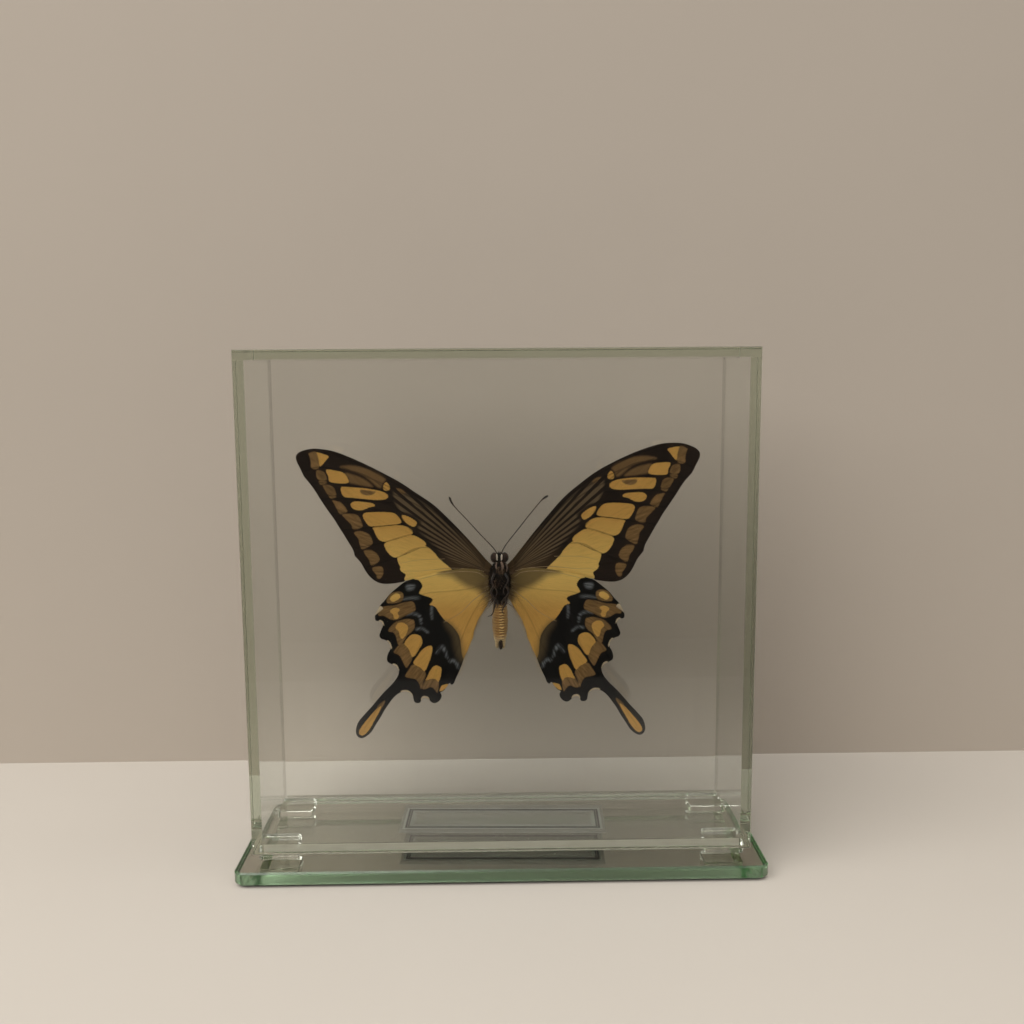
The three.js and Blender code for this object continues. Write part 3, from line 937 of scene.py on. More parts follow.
@dataclass
class DisplayCase:
    """The glass case, its feet, the mirror-backed base and the label."""

    glass: Finish = FloatGlass("clear case glass", wave=0.025 * MM, arris_haze=0.4)
    pane: float = 2.8
    arris: float = 0.1
    sill_arris: float = 0.35
    square_angle: float = 1.5  # radians: an edge that turns by more is still square
    foot_bottom: float = 4.85
    foot_round: float = 1.1
    foot_arris: float = 0.3
    rod_glass: Finish = FloatGlass("clear rod glass", absorption=(0.97, 0.99, 0.98), density=8.0)
    plate_glass: Finish = FloatGlass("base plate glass", absorption=(0.67, 0.84, 0.70), density=54.0,
                                     edge_half=(80.0, 26.0), edge_haze=0.16)
    # black paint for the sheet under the base plate: the mirror's black backing paint, and painted shadow of
    # the gap under the plate, seen as the dark line below its front edge
    backing_and_shadow: Finish = Membrane("backing paint", (0.012, 0.011, 0.010), (0.030, 0.028, 0.026), 60.0, 0.55)
    film: Finish = PrintedFilm("label film")
    coat: Finish = MirrorCoat("mirror coat")
    ground_edge: Finish = GroundEdge("ground pane edge")
    veil: float = 0.02
    veil_inset: float = 0.2
    coat_bottom: float = 0.76
    coat_top: float = 0.79
    coat_inset: float = 0.55
    coat_corner: float = 2.95

    def finish_for(self, node: str) -> Finish | None:
        """The finish of a frame node, or None for a node that a detailed piece replaces."""
        named = {"support_rod": self.rod_glass, "base_plate": self.plate_glass,
                 "base_backing": self.backing_and_shadow, "label": self.film}
        return named.get(node)

    def dress(self) -> None:
        """Gives every frame node that stays its finish."""
        for name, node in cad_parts.items():
            finish = self.finish_for(name)
            if finish is None:
                continue
            node.data.materials.clear()
            node.data.materials.append(finish_material(finish))
            log.info("%s: %s", name, finish.name)

    def block(self, low: Vector, high: Vector) -> bmesh.types.BMesh:
        """A box between two corners, in metres.

        Args:
            low: its lowest corner.
            high: its highest corner.

        Returns:
            The box.
        """
        bm = bmesh.new()
        bmesh.ops.create_cube(bm, size=1.0)
        size = Matrix.Diagonal((*(high - low), 1.0))
        bmesh.ops.transform(bm, matrix=Matrix.Translation((low + high) / 2) @ size, verts=bm.verts)
        return bm

    def grind(self, bm: bmesh.types.BMesh, edges: list[bmesh.types.BMEdge], width: float) -> None:
        """Takes the sharp edges off with ground arrises, and marks their faces.

        Args:
            bm: the glass body.
            edges: the edges to grind.
            width: how much each arris takes off either side, in millimetres.
        """
        mark = bm.faces.layers.float.get(GROUND) or bm.faces.layers.float.new(GROUND)
        for face in bevel(bm, edges, width, 1)["faces"]:
            face[mark] = 1.0

    def grow_feet(self, bm: bmesh.types.BMesh, floor: float) -> None:
        """Cuts the feet's outlines into the underside of the case and draws them down.

        Args:
            bm: the outer shell of the case.
            floor: the height of its underside, in metres.
        """
        feet = [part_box(name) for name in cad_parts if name.startswith("foot_")]
        for axis in (0, 1):
            way = Vector((axis == 0, axis == 1, 0))
            for place in sorted({round(corner[axis], 6) for box in feet for corner in box}):
                under = [face for face in bm.faces if abs(face.calc_center_median().z - floor) < SAME]
                parts = {part for face in under for part in (face, *face.edges, *face.verts)}
                bmesh.ops.bisect_plane(bm, geom=list(parts), plane_co=way * place, plane_no=way)
        soles = []
        for face in bm.faces:
            x, y, z = face.calc_center_median()
            if abs(z - floor) < SAME and any(a[0] < x < b[0] and a[1] < y < b[1] for a, b in feet):
                soles.append(face)
        drawn = bmesh.ops.extrude_discrete_faces(bm, faces=soles)["faces"]
        sole_verts = {vert for face in drawn for vert in face.verts}
        for vert in sole_verts:
            vert.co.z = self.foot_bottom * MM
        upright = [edge for vert in sole_verts for edge in vert.link_edges
                   if abs(edge.verts[0].co.z - edge.verts[1].co.z) > MM]
        bevel(bm, upright, self.foot_round, 5)
        rims = [edge for edge in bm.edges if all_at(edge.verts, self.foot_bottom * MM)]
        bevel(bm, rims, self.foot_arris, 3)

    def build_glass(self) -> None:
        """The panes and feet as one clear body, because the clear glue makes their joints vanish."""
        panes = [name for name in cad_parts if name.startswith(("pane_", "foot_"))]
        corners = [Vector(corner) for name in panes if name.startswith("pane_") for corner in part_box(name)]
        low = Vector([min(corner[i] for corner in corners) for i in range(3)])
        high = Vector([max(corner[i] for corner in corners) for i in range(3)])
        shell = self.block(low, high)
        rim = [edge for edge in shell.edges if all_at(edge.verts, low.z)]
        sill = [edge for edge in rim if abs(edge.verts[0].co.y - edge.verts[1].co.y) < SAME]
        self.grind(shell, sill, self.sill_arris)
        square = [edge for edge in shell.edges
                  if edge.is_convex and edge.calc_face_angle(0) > self.square_angle]
        self.grind(shell, square, self.arris)
        self.grow_feet(shell, low.z)
        bmesh.ops.recalc_face_normals(shell, faces=shell.faces)
        wall = Vector((self.pane, self.pane, self.pane)) * MM
        hollow = self.block(low + wall, high - wall)
        bmesh.ops.reverse_faces(hollow, faces=hollow.faces)
        shell.from_mesh(bm_mesh(hollow, "hollow"))
        piece = new_piece("case_glass", bm_mesh(shell, "case_glass"), self.glass, slot="clear_glass")
        piece.data.shade_flat()
        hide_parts(*panes)

    def build_ground_edges(self) -> None:
        """The two long edges of the bottom pane, which show pale through the glass."""
        low, high = (Vector(corner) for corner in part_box("pane_bottom"))
        middle = (low + high) / 2
        inset = 2 * self.veil_inset * MM
        size = Matrix.Diagonal((high.x - low.x - inset, self.veil * MM, high.z - low.z - inset, 1.0))
        bm = bmesh.new()
        for y in (low.y, high.y):
            made = bmesh.ops.create_cube(bm, size=1.0)
            place = Matrix.Translation((middle.x, y, middle.z))
            bmesh.ops.transform(bm, matrix=place @ size, verts=made["verts"])
        edges = new_piece("ground_edges", bm_mesh(bm, "ground_edges"), self.ground_edge, slot="clear_glass")
        edges.data.shade_flat()

    def build_coat(self) -> None:
        """The silver coat on the underside of the base plate, out to the plate's arris."""
        low, high = (Vector(corner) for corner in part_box("base_plate"))
        inset = Vector((self.coat_inset, self.coat_inset, 0)) * MM
        low, high = low + inset, high - inset
        low.z, high.z = self.coat_bottom * MM, self.coat_top * MM
        bm = self.block(low, high)
        upright = [edge for edge in bm.edges if not all_at(edge.verts, edge.verts[0].co.z)]
        bevel(bm, upright, self.coat_corner, 6)
        coat = new_piece("mirror_coat", bm_mesh(bm, "mirror_coat"), self.coat, slot="base_glass")
        coat.data.shade_flat()


@dataclass
class Studio:
    """A pale table darkened towards its front by painted shade, a plain wall close behind the case, soft
    light, and the camera.

    The key light's place, aim and size are in metres, and the camera's angles in degrees.
    """

    wall_y: float = 78.0
    wall_size: float = 900.0
    table_size: float = 1400.0
    table_front: float = -225.0
    # the table's front is darkened by painted shade, down to a tenth of its brightness
    table: Finish = MattePaint("pale table", (0.52, 0.487, 0.44), 0.05, painted_shade_level=0.10)
    wall: Finish = MattePaint("plain wall", (0.40, 0.352, 0.300), 0.05, one_sided=True)
    daylight: Colour = (1.0, 0.955, 0.90)
    all_round: float = 0.55
    overhead: float = 0.66
    behind_camera: float = 0.02
    overhead_rise: Point = (0.2, 0.9)
    dark_way: Point = (-0.991, -0.131)
    dark_rise: Point = (0.964, 0.905)
    key_place: tuple = (-0.95, -0.95, 1.25)
    key_aim: tuple = (0, 0, 0.05)
    key_size: float = 1.7
    key_power: float = 30.0
    key_colour: Colour = (1.0, 0.965, 0.92)
    bounces: int = 64
    bounces_through: int = 40
    bounces_off: int = 48
    camera_place: tuple = (-1.04, -315.74, 150.12)
    camera_yaw: float = 0.914
    camera_pitch: float = 7.507
    camera_roll: float = -0.394
    focal_length: float = 36.27
    sensor_width: float = 36.0
    nearest_seen: float = 10.0

    def sheet(self, name: str, finish: Finish, matrix: Matrix) -> None:
        """Adds a flat one-metre sheet, sized and placed by a matrix.

        Args:
            name: the sheet's name.
            finish: its finish.
            matrix: its size and place.
        """
        bm = bmesh.new()
        bmesh.ops.create_grid(bm, x_segments=8, y_segments=8, size=0.5)
        bmesh.ops.transform(bm, matrix=matrix, verts=bm.verts)
        mesh = bm_mesh(bm, name)
        mesh.materials.append(finish_material(finish))
        sheet = bpy.data.objects.new(name, mesh)
        bpy.context.scene.collection.objects.link(sheet)

    def build_stage(self) -> None:
        """The table under the base, darkened towards its front by painted shade, and the wall that stands on
        it.
        """
        wide = self.table_size * MM
        middle = Matrix.Translation((0, self.table_front * MM + wide / 2, -0.05 * MM))
        self.sheet("table", self.table, middle @ Matrix.Scale(wide, 4))
        tall = self.wall_size * MM
        stand = Matrix.Translation((0, self.wall_y * MM, tall / 2)) @ Matrix.Rotation(math.pi / 2, 4, "X")
        self.sheet("wall", self.wall, stand @ Matrix.Scale(tall, 4))

    def build_key(self) -> None:
        """A large square soft light at the upper left, turned to the case."""
        lamp = bpy.data.lights.new("soft_key", "AREA")
        lamp.size = self.key_size
        lamp.energy = self.key_power
        lamp.color = self.key_colour
        lamp_object = bpy.data.objects.new("soft_key", lamp)
        lamp_object.location = self.key_place
        towards = Vector(self.key_aim) - Vector(self.key_place)
        lamp_object.rotation_euler = towards.to_track_quat("-Z", "Y").to_euler()
        bpy.context.scene.collection.objects.link(lamp_object)

    def build_light(self) -> None:
        """Soft light all round but dark behind the camera, brighter from above, and long light paths."""
        scene = bpy.context.scene
        scene.view_settings.view_transform = "Standard"
        scene.cycles.max_bounces = self.bounces
        scene.cycles.transmission_bounces = self.bounces_through
        scene.cycles.glossy_bounces = self.bounces_off
        world = bpy.data.worlds.new("studio")
        graph = ShaderGraph(world)
        _, depth, height = graph.split(graph.node("ShaderNodeTexCoord", output="Generated"))
        away = (depth * self.dark_way[0] + height * self.dark_way[1]).step(*self.dark_rise)
        strength = height.step(*self.overhead_rise) * self.overhead + self.all_round
        strength = away * (strength - self.behind_camera) + self.behind_camera
        sky = graph.node("ShaderNodeBackground", None, {0: rgba(self.daylight), 1: strength})
        graph.tree.links.new(sky.socket, graph.output.inputs["Surface"])
        scene.world = world
        self.build_key()

    def build_camera(self) -> None:
        """The camera, a little above the middle of the case and turned slightly down."""
        yaw, pitch, roll = (math.radians(a) for a in (self.camera_yaw, self.camera_pitch, self.camera_roll))
        ahead = Vector((math.sin(yaw) * math.cos(pitch), math.cos(yaw) * math.cos(pitch), -math.sin(pitch)))
        right = Vector((math.cos(yaw), -math.sin(yaw), 0))
        up = right.cross(ahead)
        turned = right * math.cos(roll) + up * math.sin(roll)
        up = up * math.cos(roll) - right * math.sin(roll)
        data = bpy.data.cameras.new("camera")
        data.lens = self.focal_length
        data.sensor_width = self.sensor_width
        data.clip_start = self.nearest_seen * MM
        camera = bpy.data.objects.new("camera", data)
        axes = Matrix((turned, up, -ahead)).transposed().to_4x4()
        camera.matrix_world = Matrix.Translation(Vector(self.camera_place) * MM) @ axes
        bpy.context.scene.collection.objects.link(camera)
        bpy.context.scene.camera = camera


# ---------------------------------------------------------------- wings


class Side(Enum):
    """The two sides of the butterfly, by the sign of their X."""

    LEFT = -1
    RIGHT = 1


VEIN_PALE = Membrane("pale vein", (0.330, 0.210, 0.095), (0.480, 0.330, 0.170), 900.0)


@dataclass
class Wing:
    """One wing blade in its own plane: distance from the body along it, and height, in millimetres."""

    kind: str
    plane_y: float
    outline: list[Loop]
    markings: dict[Tone, list[Loop]]
    dark_veins: list[Loop]
    pale_veins: list[Loop]
    scales: Finish
    slot: str
    cell: list[Loop] = field(default_factory=list)
    drawn_back: float = 0.0
    rise: float = 3.0  # degrees that its tip is turned to the back
    thickness: float = 0.16
    pitch: float = 0.3
    vein_root: float = 0.20
    vein_tip: float = 0.11
    vein_span: Point = (4.0, 32.0)
    long_wave: Point = (8.5, 15.0)
    cross_wave: Point = (21.0, 6.0)
    cross_share: float = 0.6
    wave_depth: float = 0.16
    flat_root: Point = (4.0, 12.0)
    drawn_span: float = 62.0
    drawn_from: float = 88.0
    drawn_rise: float = 30.0

    def edge(self) -> np.ndarray:
        """The wing's outline: smooth runs that meet at corners."""
        return np.vstack([curve_through(run, 6)[:-1] for run in self.outline])

    def sag(self, across: np.ndarray, up: np.ndarray) -> np.ndarray:
        """The slight waves of a dried wing, in millimetres towards the back.

        Args:
            across: distances from the body, in millimetres.
            up: heights, in millimetres.

        Returns:
            How far back each point stands.
        """
        long = np.sin(across / self.long_wave[0] + up / self.long_wave[1])
        cross = np.sin(up / self.cross_wave[1] - across / self.cross_wave[0])
        growth = np.clip((across - self.flat_root[0]) / self.flat_root[1], 0, 1)
        return self.wave_depth * (long + self.cross_share * cross) * growth

    def blade(self, edge: np.ndarray) -> bmesh.types.BMesh:
        """A flat grid trimmed to the outline, with its rim drawn onto it, made into a thin shell.

        Args:
            edge: the wing's outline, in millimetres.

        Returns:
            The blade, in millimetres.
        """
        low, high = edge.min(axis=0) - self.pitch, edge.max(axis=0) + self.pitch
        cells = np.ceil((high - low) / self.pitch).astype(int)
        bm = bmesh.new()
        bmesh.ops.create_grid(bm, x_segments=int(cells[0]), y_segments=int(cells[1]), size=0.5)
        size = Matrix.Diagonal((high[0] - low[0], high[1] - low[1], 1.0, 1.0))
        middle = (low + high) / 2
        stand = Matrix.Translation((middle[0], 0, middle[1])) @ Matrix.Rotation(math.pi / 2, 4, "X")
        bmesh.ops.transform(bm, matrix=stand @ size, verts=bm.verts)
        centres = np.array([face.calc_center_median().xz for face in bm.faces])
        inside = nearest(centres, edge)[0] > 0
        outer = [face for face, keep in zip(bm.faces, inside) if not keep]
        bmesh.ops.delete(bm, geom=outer, context="FACES")
        rim = [vert for vert in bm.verts if vert.is_boundary]
        for vert, foot in zip(rim, nearest(np.array([v.co.xz for v in rim]), edge)[1]):
            vert.co.x, vert.co.z = foot
        bmesh.ops.remove_doubles(bm, verts=rim, dist=self.pitch * 0.12)
        bmesh.ops.dissolve_degenerate(bm, edges=bm.edges, dist=self.pitch * 0.02)
        for vert in bm.verts:
            vert.co.y = float(self.sag(vert.co.x, vert.co.z)) - self.thickness / 2
        bmesh.ops.solidify(bm, geom=bm.faces, thickness=self.thickness)
        bmesh.ops.recalc_face_normals(bm, faces=bm.faces)
        return bm

    def ribs(self, veins: list[Loop], swell: float = 1.0) -> bpy.types.Mesh:
        """Tapered veins that lie in the blade and stand a little proud of both faces.

        Args:
            veins: points along each vein, in millimetres.
            swell: what their radii are multiplied by.

        Returns:
            The veins as one mesh, in metres.
        """
        strands = Strands()
        for vein in veins:
            line = curve_through(vein, 6)
            depth = self.sag(line[:, 0], line[:, 1])
            path = np.column_stack([line[:, 0], depth, line[:, 1]])
            reach = np.hypot(line[:, 0] - WING_ROOT[0], line[:, 1] - WING_ROOT[1])
            radii = np.interp(reach, self.vein_span, [self.vein_root, self.vein_tip]) * swell
            strands.add(path, radii)
        return strands.mesh()

    def build(self) -> None:
        """Builds both wings of the pair from one blade, each in place on its side."""
        edge = self.edge()
        bm = self.blade(edge)
        bmesh.ops.scale(bm, vec=(MM, MM, MM), verts=bm.verts)
        bm.from_mesh(self.ribs(self.dark_veins))
        spots = np.array([vert.co.xz for vert in bm.verts]) / MM
        upper = np.array([vert.normal.y > 0 for vert in bm.verts], float)
        values = {tone.value: markings_distance(spots, loops) for tone, loops in self.markings.items()}
        values["cell"] = markings_distance(spots, self.cell)
        values["upper"] = upper
        values["vein"] = np.min([nearest(spots, curve_through(vein, 6), closed=False)[0]
                                 for vein in self.dark_veins], axis=0)
        blade = bm_mesh(bm, self.kind)
        for name, numbers in values.items():
            blade.attributes.new(name, "FLOAT", "POINT").data.foreach_set("value", numbers)
        corners = np.empty(len(blade.loops), int)
        blade.loops.foreach_get("vertex_index", corners)
        blade.uv_layers.new(name="wing").data.foreach_set("uv", (spots[corners] / UV_SCALE).ravel())
        parts = [blade, self.ribs(self.pale_veins, 0.9)]
        for side in Side:
            self.place(parts, side)

    def place(self, parts: list[bpy.types.Mesh], side: Side) -> None:
        """Joins the blade and its veins on one side of the body, tilted and shifted into place.

        Args:
            parts: the blade with its dark veins, and its pale veins, on the right in their plane.
            side: the side that the wing is for.
        """
        bm = bmesh.new()
        for number, part in enumerate(parts):
            before = len(bm.faces)
            bm.from_mesh(part)
            bm.faces.ensure_lookup_table()
            for face in bm.faces[before:]:
                face.material_index = number
                face.smooth = True
        if side is Side.LEFT:
            self.draw_back(bm)
            bmesh.ops.scale(bm, vec=(-1, 1, 1), verts=bm.verts)
            bmesh.ops.reverse_faces(bm, faces=bm.faces)
        turn = Matrix.Rotation(side.value * math.radians(self.rise), 4, "Z")
        shift = Matrix.Translation((0, self.plane_y * MM, 0))
        bmesh.ops.transform(bm, matrix=shift @ turn, verts=bm.verts)
        node = f"{self.kind}_{side.name.lower()}"
        piece = new_piece(f"{node}_scaled", bm_mesh(bm, node), self.scales, VEIN_PALE, slot=self.slot)
        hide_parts(node)

    def draw_back(self, bm: bmesh.types.BMesh) -> None:
        """Lowers the front edge, as the left forewing was set.

        Args:
            bm: the wing, in its own plane.
        """
        if not self.drawn_back:
            return
        for vert in bm.verts:
            along = math.sin(math.pi * min(vert.co.x / MM / self.drawn_span, 1.0))
            forward = min(max((vert.co.z / MM - self.drawn_from) / self.drawn_rise, 0.0), 1.0)
            vert.co.z -= self.drawn_back * MM * along * forward


FOREWING_OUTLINE: list[Loop] = [
    [(2.3, 92.2), (4, 93.9), (5, 95.1), (10, 101.4), (15, 107.4), (20, 113), (25, 117.2), (30, 120.8),
     (35, 123.5), (40, 125.8), (45, 127.7), (50, 129.1), (53.5, 129.4), (57, 129.2), (60, 128.2),
     (61.5, 127.3), (62.3, 126.2), (62.2, 124.7), (61.2, 122.6), (60, 120.1)],
    [(60, 120.1), (57.5, 117.2), (55, 113.3), (53, 110.3), (51, 107.4), (49.8, 105.3)],
    [(49.8, 105.3), (48.3, 102.8), (47, 100.5), (45.5, 97.8), (45, 95.7)],
    [(45, 95.7), (43.2, 93.5), (41.8, 90.75), (40.5, 88.7), (38.5, 87), (36, 86.25), (33, 86.4),
     (30, 86.9), (28.5, 87.4), (20, 87.6), (10, 86.8), (4, 85.6), (2.3, 85.0)],
    [(2.3, 85.0), (2.0, 88.6), (2.3, 92.2)],
]
FOREWING_MARKS: dict[Tone, list[Loop]] = {
    Tone.OLIVE: [
        [(34.8, 122), (37.5, 123.7), (41.7, 125.1), (45, 125.5), (47.9, 125.1), (48.75, 124.5),
         (45.8, 123.9), (42.5, 123), (40, 121.6), (37.5, 119.5), (36.25, 119.3), (35.6, 120.75)],
        [(38.75, 119.5), (40.8, 121.2), (43.75, 122.4), (47.1, 123), (46.25, 121.2), (46, 120.1),
         (43.3, 119.7), (40, 119.3)],
    ],
    Tone.YELLOW: [
        [(52.2, 127.4), (53.75, 128), (56, 128.2), (56.7, 127.4), (55.8, 126.2), (55.2, 124.1),
         (54.2, 124.7), (53.1, 126.2)],
        [(46.25, 120.75), (47.5, 122.8), (50, 123.3), (53.1, 123.25), (52.5, 121.2), (52.1, 119.7),
         (49.2, 119.5), (46.7, 119.9)],
        [(34.1, 116.4), (34.6, 117.4), (36.7, 118.25), (40.8, 118.75), (45, 118.75), (48.1, 118.6),
         (48.75, 118), (48.5, 116.4), (47.5, 115.3), (45, 115.3), (41.7, 115.2), (37.5, 115.1),
         (35, 115.5)],
        [(38.3, 113), (39, 113.9), (41.7, 114.2), (44.2, 114.2), (45.6, 113.5), (45.8, 112.6),
         (45, 111.6), (43.3, 111.25), (41.7, 111.6), (40.2, 112.4)],
        [(30.2, 107.6), (31.25, 109.7), (32.7, 110.8), (35.4, 111.1), (40, 110.8), (41.7, 110.3),
         (42.1, 109.3), (41.5, 107.8), (40.2, 106.1), (38.3, 106.1), (35.4, 106.5), (32.1, 106.8)],
        [(26.7, 104.3), (27.7, 105.5), (30, 106.5), (33.3, 106.4), (38.75, 105.7), (38.7, 104.5),
         (37.9, 102.4), (36.9, 101.2), (35, 100.8), (31.7, 101.9), (28.75, 102.75), (27.1, 103.25)],
        [(22.7, 99.9), (23.75, 101.4), (26.7, 103), (29.2, 102.5), (31.7, 101.7), (35.4, 100.3),
         (35.4, 98.7), (34.6, 97), (33.3, 95.7), (31.7, 95.3), (29.2, 96.6), (25.8, 98.2), (23.3, 99.1)],
        [(19.2, 95.3), (20, 96.6), (22.7, 99.1), (25, 98.3), (29.2, 96.25), (31.5, 95.3), (31.5, 93.7),
         (30.8, 92), (30.6, 91), (25, 91.0), (20, 91.4), (15.8, 91.6), (17.5, 93.5)],
        [(15.4, 91.6), (20, 91.5), (25, 91.1), (30.5, 91.1), (30.2, 90.1), (29.2, 89.3), (29, 87),
         (20, 86.5), (14, 87)],
        [(25.4, 107.4), (26.7, 108.7), (28.75, 109.9), (30, 110), (29.8, 108.7), (28.75, 107.4),
         (27.1, 106.2), (26, 106.1)],
        [(33.5, 119.5), (34, 120.5), (34.6, 121), (35.4, 120.3), (35.6, 118.9), (34.6, 118.3),
         (33.7, 118.7)],
    ],
    Tone.BROWN: [
        [(56, 128.2), (58.3, 127.6), (58.1, 126.6), (57.8, 124.9), (57.7, 123.25), (56.25, 123),
         (55.2, 124.1)],
        [(53.5, 122), (54.6, 122.75), (56, 122.6), (56.25, 121.2), (55.6, 119.9), (53.1, 120.1)],
        [(52.9, 119.5), (55.4, 119.5), (55.2, 118.5), (54.2, 118.5)],
        [(38.3, 118), (42.5, 118.25), (42.5, 117.2), (41, 116.5), (39.2, 116.8), (38.1, 117.6)],
        [(28.75, 117.8), (29.8, 118.75), (31.5, 119.2), (31, 118.5), (29.8, 117.4), (29, 117.3)],
        [(50.4, 116.6), (51, 118), (52.5, 118.6), (54.2, 118.25), (53.75, 117), (52.7, 115.5),
         (50.4, 115.5)],
        [(50.2, 115.1), (52.5, 115.1), (51.7, 114.3)],
        [(47.9, 112.4), (49.2, 113.5), (51.5, 113.75), (51, 112.8), (49.6, 109.9), (49.2, 109.5),
         (47.1, 110.3), (47.1, 111.2)],
        [(43.1, 108.7), (44.2, 109.7), (46.25, 109.9), (48.5, 109.3), (47.5, 108), (45.8, 106.2),
         (45.4, 104.7), (43.75, 104.9), (42.5, 105.5), (42.3, 106.4)],
        [(40, 102.8), (41.25, 103.75), (43.3, 104.2), (45, 103.5), (43.75, 101.6), (43.3, 99.5),
         (42.7, 98), (41, 98.7), (39.4, 99.9), (39.4, 101.2)],
        [(38.5, 97), (40, 97.9), (41.9, 97.6), (41.9, 96.6), (40.6, 94.5), (40, 92.6), (38.75, 92.8),
         (37.3, 94.3), (37.5, 95.75)],
        [(36.25, 91.4), (37.1, 92.2), (39.4, 91.8), (39.4, 90.75), (38.3, 89.1), (38.1, 88), (37.1, 88),
         (36.25, 89.5)],
    ],
}
FOREWING_CELL: list[Loop] = [
    [(4, 91), (8, 98), (14, 105), (22, 113.4), (28, 117.6), (32, 119), (33, 116), (31.5, 112.4),
     (30.6, 110.6), (28, 110.2), (24.6, 107.6), (25.4, 105), (21.4, 100), (17.5, 96), (14, 93),
     (9, 91.2), (5, 90.3)],
]
FOREWING_DARK_VEINS: list[Loop] = [
    [(4.2, 93.4), (14, 105.6), (26, 116.9), (40, 124.9), (50, 128.4)],
    [(4.6, 92.8), (14, 104.6), (24, 114.2), (36, 120.6), (48, 124.6)],
    [(4.6, 92.2), (14, 103.2), (24, 112.6), (33, 117.6)],
    [(4.8, 91.6), (14, 100.2), (24, 108.4), (30.6, 111.4)],
    [(33, 117.6), (42, 123.2), (54.6, 123.8), (59.6, 122)],
    [(33, 117.6), (40, 119.1), (52, 119.3), (57.2, 118.6)],
    [(33, 117.6), (32.6, 114.8), (31, 111.4), (29, 107.4), (26.4, 103.8)],
    [(32.2, 114.4), (40, 114.8), (48, 114.7), (54.6, 113.8)],
    [(31, 111.4), (38, 111.3), (46, 110.3), (51.6, 109.4)],
    [(29, 107.2), (34, 106.5), (41, 105.4), (48.4, 104.2)],
    [(26.4, 103.6), (31, 102.3), (37, 100.2), (44.8, 98.4)],
    [(20, 98.6), (26, 98.4), (32, 95.2), (41.4, 92)],
    [(4.8, 90.9), (12, 94.4), (20, 98.6), (26.4, 103.6)],
]
FOREWING_PALE_VEINS: list[Loop] = [
    [(4.8, 90.2), (8, 91), (15, 91.4), (20, 91), (25, 90.5), (30, 90.6)],
    [(17, 94.6), (25, 94.4), (31, 93.2)],
]
HINDWING_OUTLINE: list[Loop] = [
    [(1.8, 87.6), (3.0, 88.6), (5, 90), (7.5, 91), (10, 91.2), (13, 91), (16, 90.6), (20, 89.9),
     (24, 88.8), (27, 87.9), (29.5, 87), (31.8, 85.3), (34.2, 83.2), (36, 81), (36.8, 80.2),
     (38, 78.5), (39, 76.1), (38.75, 74.8), (37.7, 74.6), (36.9, 74.2)],
    [(36.9, 74.2), (36.6, 73.2), (37.3, 71.5), (37.8, 70), (37.3, 69), (36.2, 68.6), (35, 68)],
    [(35, 68), (34.5, 66.9), (34.4, 65.7), (35.2, 64.2), (35.6, 62.75), (35.4, 61.5), (34.2, 60.75),
     (32.7, 60)],
    [(32.7, 60), (32, 58.8), (32.1, 57.5), (32.9, 55.9), (34.6, 53.8), (36.7, 51.7), (38.75, 49.4),
     (41, 46.7), (43.1, 44.4), (45, 42.1), (45.8, 40.25), (46, 38.4), (45.4, 37.1), (44.2, 36.6),
     (42.7, 37.25), (41, 38.8), (39.6, 41.1), (38.1, 43.4), (36.7, 45.9), (35.4, 47.75), (34.2, 49.4),
     (32.7, 50.9), (31.25, 51.7), (29.8, 51.9), (28.3, 51.3), (27.6, 50.25)],
    [(27.6, 50.25), (27.3, 48.8), (26.5, 48.2), (25.4, 48.4), (24.9, 49.4), (24, 49.9), (22.7, 49.6)],
    [(22.7, 49.6), (22.1, 48.8), (21, 48.2), (19.8, 48.6), (18.75, 49.75), (18.6, 50.9), (19.1, 51.7)],
    [(19.1, 51.7), (17.9, 52.3), (16.7, 53.8)],
    [(16.7, 53.8), (16, 54.8), (15.4, 54.2), (14.6, 54.8), (14, 56.3), (13.1, 58.2), (12.1, 60.7),
     (11, 63.6), (10.2, 65.25), (9.4, 67.3), (8.5, 69.4), (8.1, 71.5), (7.5, 73.2), (6.7, 75.25),
     (5.4, 77.3), (4.2, 79.4), (2.9, 81.6), (1.8, 83.0)],
    [(1.8, 83.0), (1.6, 85.3), (1.8, 87.6)],
]
